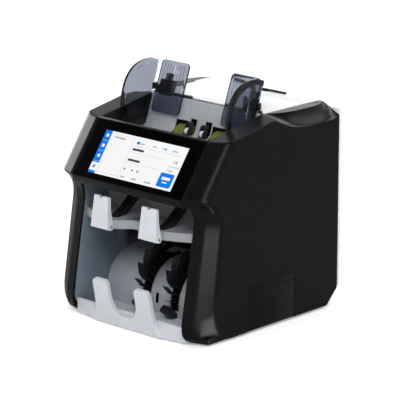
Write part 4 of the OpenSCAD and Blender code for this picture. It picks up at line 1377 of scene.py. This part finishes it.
@dataclass
class Stacker(Assembly):
    """Stacker tray, ramp, tongues and leaf wheels."""

    lip_top: float = 13.0
    lip_rise: float = 8.5
    lip_edge: float = 1.6
    stop_half: float = 62.0
    axle: Span = (-46.1, 54.5)
    leaf_pitch: float = 30.0
    second_share: float = 0.86

    def build(self) -> None:
        """Builds the stacker's pieces."""
        self._tray()
        self.dress("stacker_ramp", Finishes.RAMP, 0.4)
        self.dress("stacker_tongues", Finishes.LEVER, 1.0, 3)
        self.dress("stacker_shaft", Finishes.STEEL, 0.4)
        self._wheels()

    def _tray(self) -> None:
        """Builds the tray with its raised lip ends and soft edges."""
        piece = Bench.copy("stacker_tray")

        def lift(spot: Vector) -> Vector:
            """Returns a corner's new place, with the lip's ends raised."""
            raised = abs(spot.x) > self.stop_half and spot.z > self.lip_top
            return spot + Vector((0.0, 0.0, self.lip_rise if raised else 0.0))

        Bench.reshape(piece, lift)
        Bench.round_edges(piece, self.lip_edge, 4, lambda a, b, turn: turn > 35.0 and (b - a).length > 4.0)
        self.stand_in(piece, Finishes.WHITE, "stacker_tray", 40.0)

    def _wheels(self) -> None:
        """Builds the leaf wheels, with a second row of leaves between the first."""
        piece = Bench.copy("stacker_wheels")
        second = Bench.copy("stacker_wheels", "second_leaves")
        centre = Matrix.Translation(Vector((0.0, *self.axle)) * MM)
        turn = Matrix.Rotation(math.radians(self.leaf_pitch / 2), 4, "X")
        small = Matrix.Diagonal((1.0, self.second_share, self.second_share, 1.0))
        Bench.settle(second, centre @ turn @ small @ centre.inverted())
        Bench.join(piece, second)
        self.stand_in(piece, Finishes.LEAF, "stacker_wheels")


@dataclass
class Works(Assembly):
    """Chassis, note path, drives and electrics."""

    steel: tuple[str, ...] = ("chassis_left", "chassis_right", "chassis_screws", "bearings", "transport_shaft",
                              "idler_shaft", "exit_shaft", "turn_guide", "main_pulley", "stacker_pulley",
                              "power_supply")
    dark: tuple[str, ...] = ("sensor_bar_front", "sensor_bar_rear", "diverter_gate", "power_socket",
                             "power_switch", "port_block")

    def build(self) -> None:
        """Builds the works' pieces."""
        for node in self.steel:
            self.dress(node, Finishes.STEEL)
        for node in self.dark:
            self.dress(node, Finishes.DARK, 0.4)
        for node in ("main_motor", "stacker_motor"):
            self.dress(node, Finishes.MOTOR, 0.8)
        self.dress("belts", Finishes.LEAF, 0.2)
        self.dress("main_board", Finishes.BOARD, 0.2)


@dataclass(frozen=True)
class Lamp:
    """A soft square lamp: its place and side in metres, its power in watts, and whether it lights the machine."""

    name: str
    place: Place
    size: float
    power: float
    lights: bool = True


@dataclass
class Studio:
    """Floor, soft light and the camera."""

    eye: Place = (2370.8, -2528.8, 1110.9)
    right: Place = (0.7306, 0.6827, 0.0)
    up: Place = (-0.1813, 0.1940, 0.9640)
    back: Place = (0.6582, -0.7044, 0.2656)
    lens: float = 234.0
    sensor: float = 36.0
    surround: float = 0.5
    lift: float = 0.3
    aim: Place = (0.0, 0.0, 0.15)
    lamps: tuple[Lamp, ...] = (
        Lamp("key", (1.2, -1.35, 1.65), 1.2, 28.0), Lamp("left_light", (-1.8, 0.05, 0.55), 0.9, 20.0),
        Lamp("rim_light", (1.1, 1.75, 1.5), 0.7, 9.0), Lamp("top_light", (-0.2, 0.9, 2.4), 1.4, 8.0),
        Lamp("back_light", (-2.0, 2.1, 0.85), 1.6, 7.0), Lamp("low_light", (0.62, -0.36, 0.05), 0.45, 4.4, False),
        Lamp("toe_light", (0.155, -0.11, 0.012), 0.042, 0.062, False),
        Lamp("scoop_light", (-0.35, 1.9, 1.9), 0.8, 18.0, False))

    def build(self) -> None:
        """Builds the studio."""
        self._floor()
        self._world()
        for lamp in self.lamps:
            self._hang(lamp)
        self._camera()
        bpy.context.scene.view_settings.view_transform = "Standard"

    def _floor(self) -> None:
        """Lays a wide pale floor with a faint mottle."""
        floor = Bench.fresh(bpy.ops.mesh.primitive_plane_add, size=40.0)
        floor.name = "floor"
        material = bpy.data.materials.new("pale_floor")
        tree = Tree.of(material)
        tint = tree.mix(tree.noise(tree.place(), 3.0, 2.0), (0.92, 0.92, 0.92, 1.0), (0.94, 0.94, 0.94, 1.0))
        rays = tree.add("ShaderNodeLightPath").outputs
        tint = tree.mix(rays["Is Glossy Ray"], tint, (0.6, 0.6, 0.6, 1.0))
        seen = tree.math("MAXIMUM", rays["Is Camera Ray"], rays["Is Transmission Ray"])
        tree.end(tree.add("ShaderNodeBsdfPrincipled", {
            "Base Color": tint, "Roughness": 0.9, "Specular IOR Level": 0.1,
            "Emission Color": (1.0, 1.0, 1.0, 1.0), "Emission Strength": tree.math("MULTIPLY", seen, self.lift)}))
        floor.data.materials.append(material)

    def _world(self) -> None:
        """Lights the room softly and shows white where the camera or a reflection sees past the floor."""
        world = bpy.data.worlds.new("soft_room")
        bpy.context.scene.world = world
        tree = Tree.of(world)
        rays = tree.add("ShaderNodeLightPath").outputs
        toward = tree.add("ShaderNodeTexCoord").outputs["Generated"]
        height = tree.add("ShaderNodeSeparateXYZ", {0: toward}).outputs["Z"]
        sweep = tree.math("SUBTRACT", tree.span(height, (0.2, 0.6), (1.0, 0.3)), self.surround)
        room = tree.math("ADD", tree.math("MULTIPLY", sweep, rays["Is Glossy Ray"]), self.surround)
        seen = tree.math("MAXIMUM", rays["Is Camera Ray"], rays["Is Transmission Ray"])
        tree.end(tree.add("ShaderNodeBackground", {"Color": (1.0, 1.0, 1.0, 1.0),
                                                   "Strength": tree.math("MAXIMUM", room, seen)}),
                 "ShaderNodeOutputWorld")

    def _hang(self, lamp: Lamp) -> None:
        """Hangs a lamp that looks at the middle of the machine.

        Args:
            lamp: The lamp. One that doesn't light the machine is only seen as a reflection.
        """
        light = Bench.fresh(bpy.ops.object.light_add, type="AREA", location=lamp.place)
        light.name = lamp.name
        light.data.size = lamp.size
        light.data.energy = lamp.power
        light.visible_camera = False
        light.visible_diffuse = lamp.lights
        light.rotation_mode = "QUATERNION"
        light.rotation_quaternion = (Vector(self.aim) - light.location).to_track_quat("-Z", "Y")

    def _camera(self) -> None:
        """Sets up the camera at the photograph's angle."""
        camera = Bench.fresh(bpy.ops.object.camera_add)
        camera.data.lens = self.lens
        camera.data.sensor_width = self.sensor
        camera.data.clip_start, camera.data.clip_end = 0.1, 100.0
        turn = Matrix((self.right, self.up, self.back)).transposed().to_4x4()
        camera.matrix_world = Matrix.Translation(Vector(self.eye) * MM) @ turn
        bpy.context.scene.camera = camera


def main() -> None:
    """Builds every sub-assembly in order."""
    logging.basicConfig(level=logging.INFO)
    paint = Paintshop()
    for part in (Shell(paint), Screen(paint), Hopper(paint), RejectPocket(paint), Stacker(paint), Works(paint)):
        part.build()
    Studio().build()


if __name__ == "__main__":
    main()
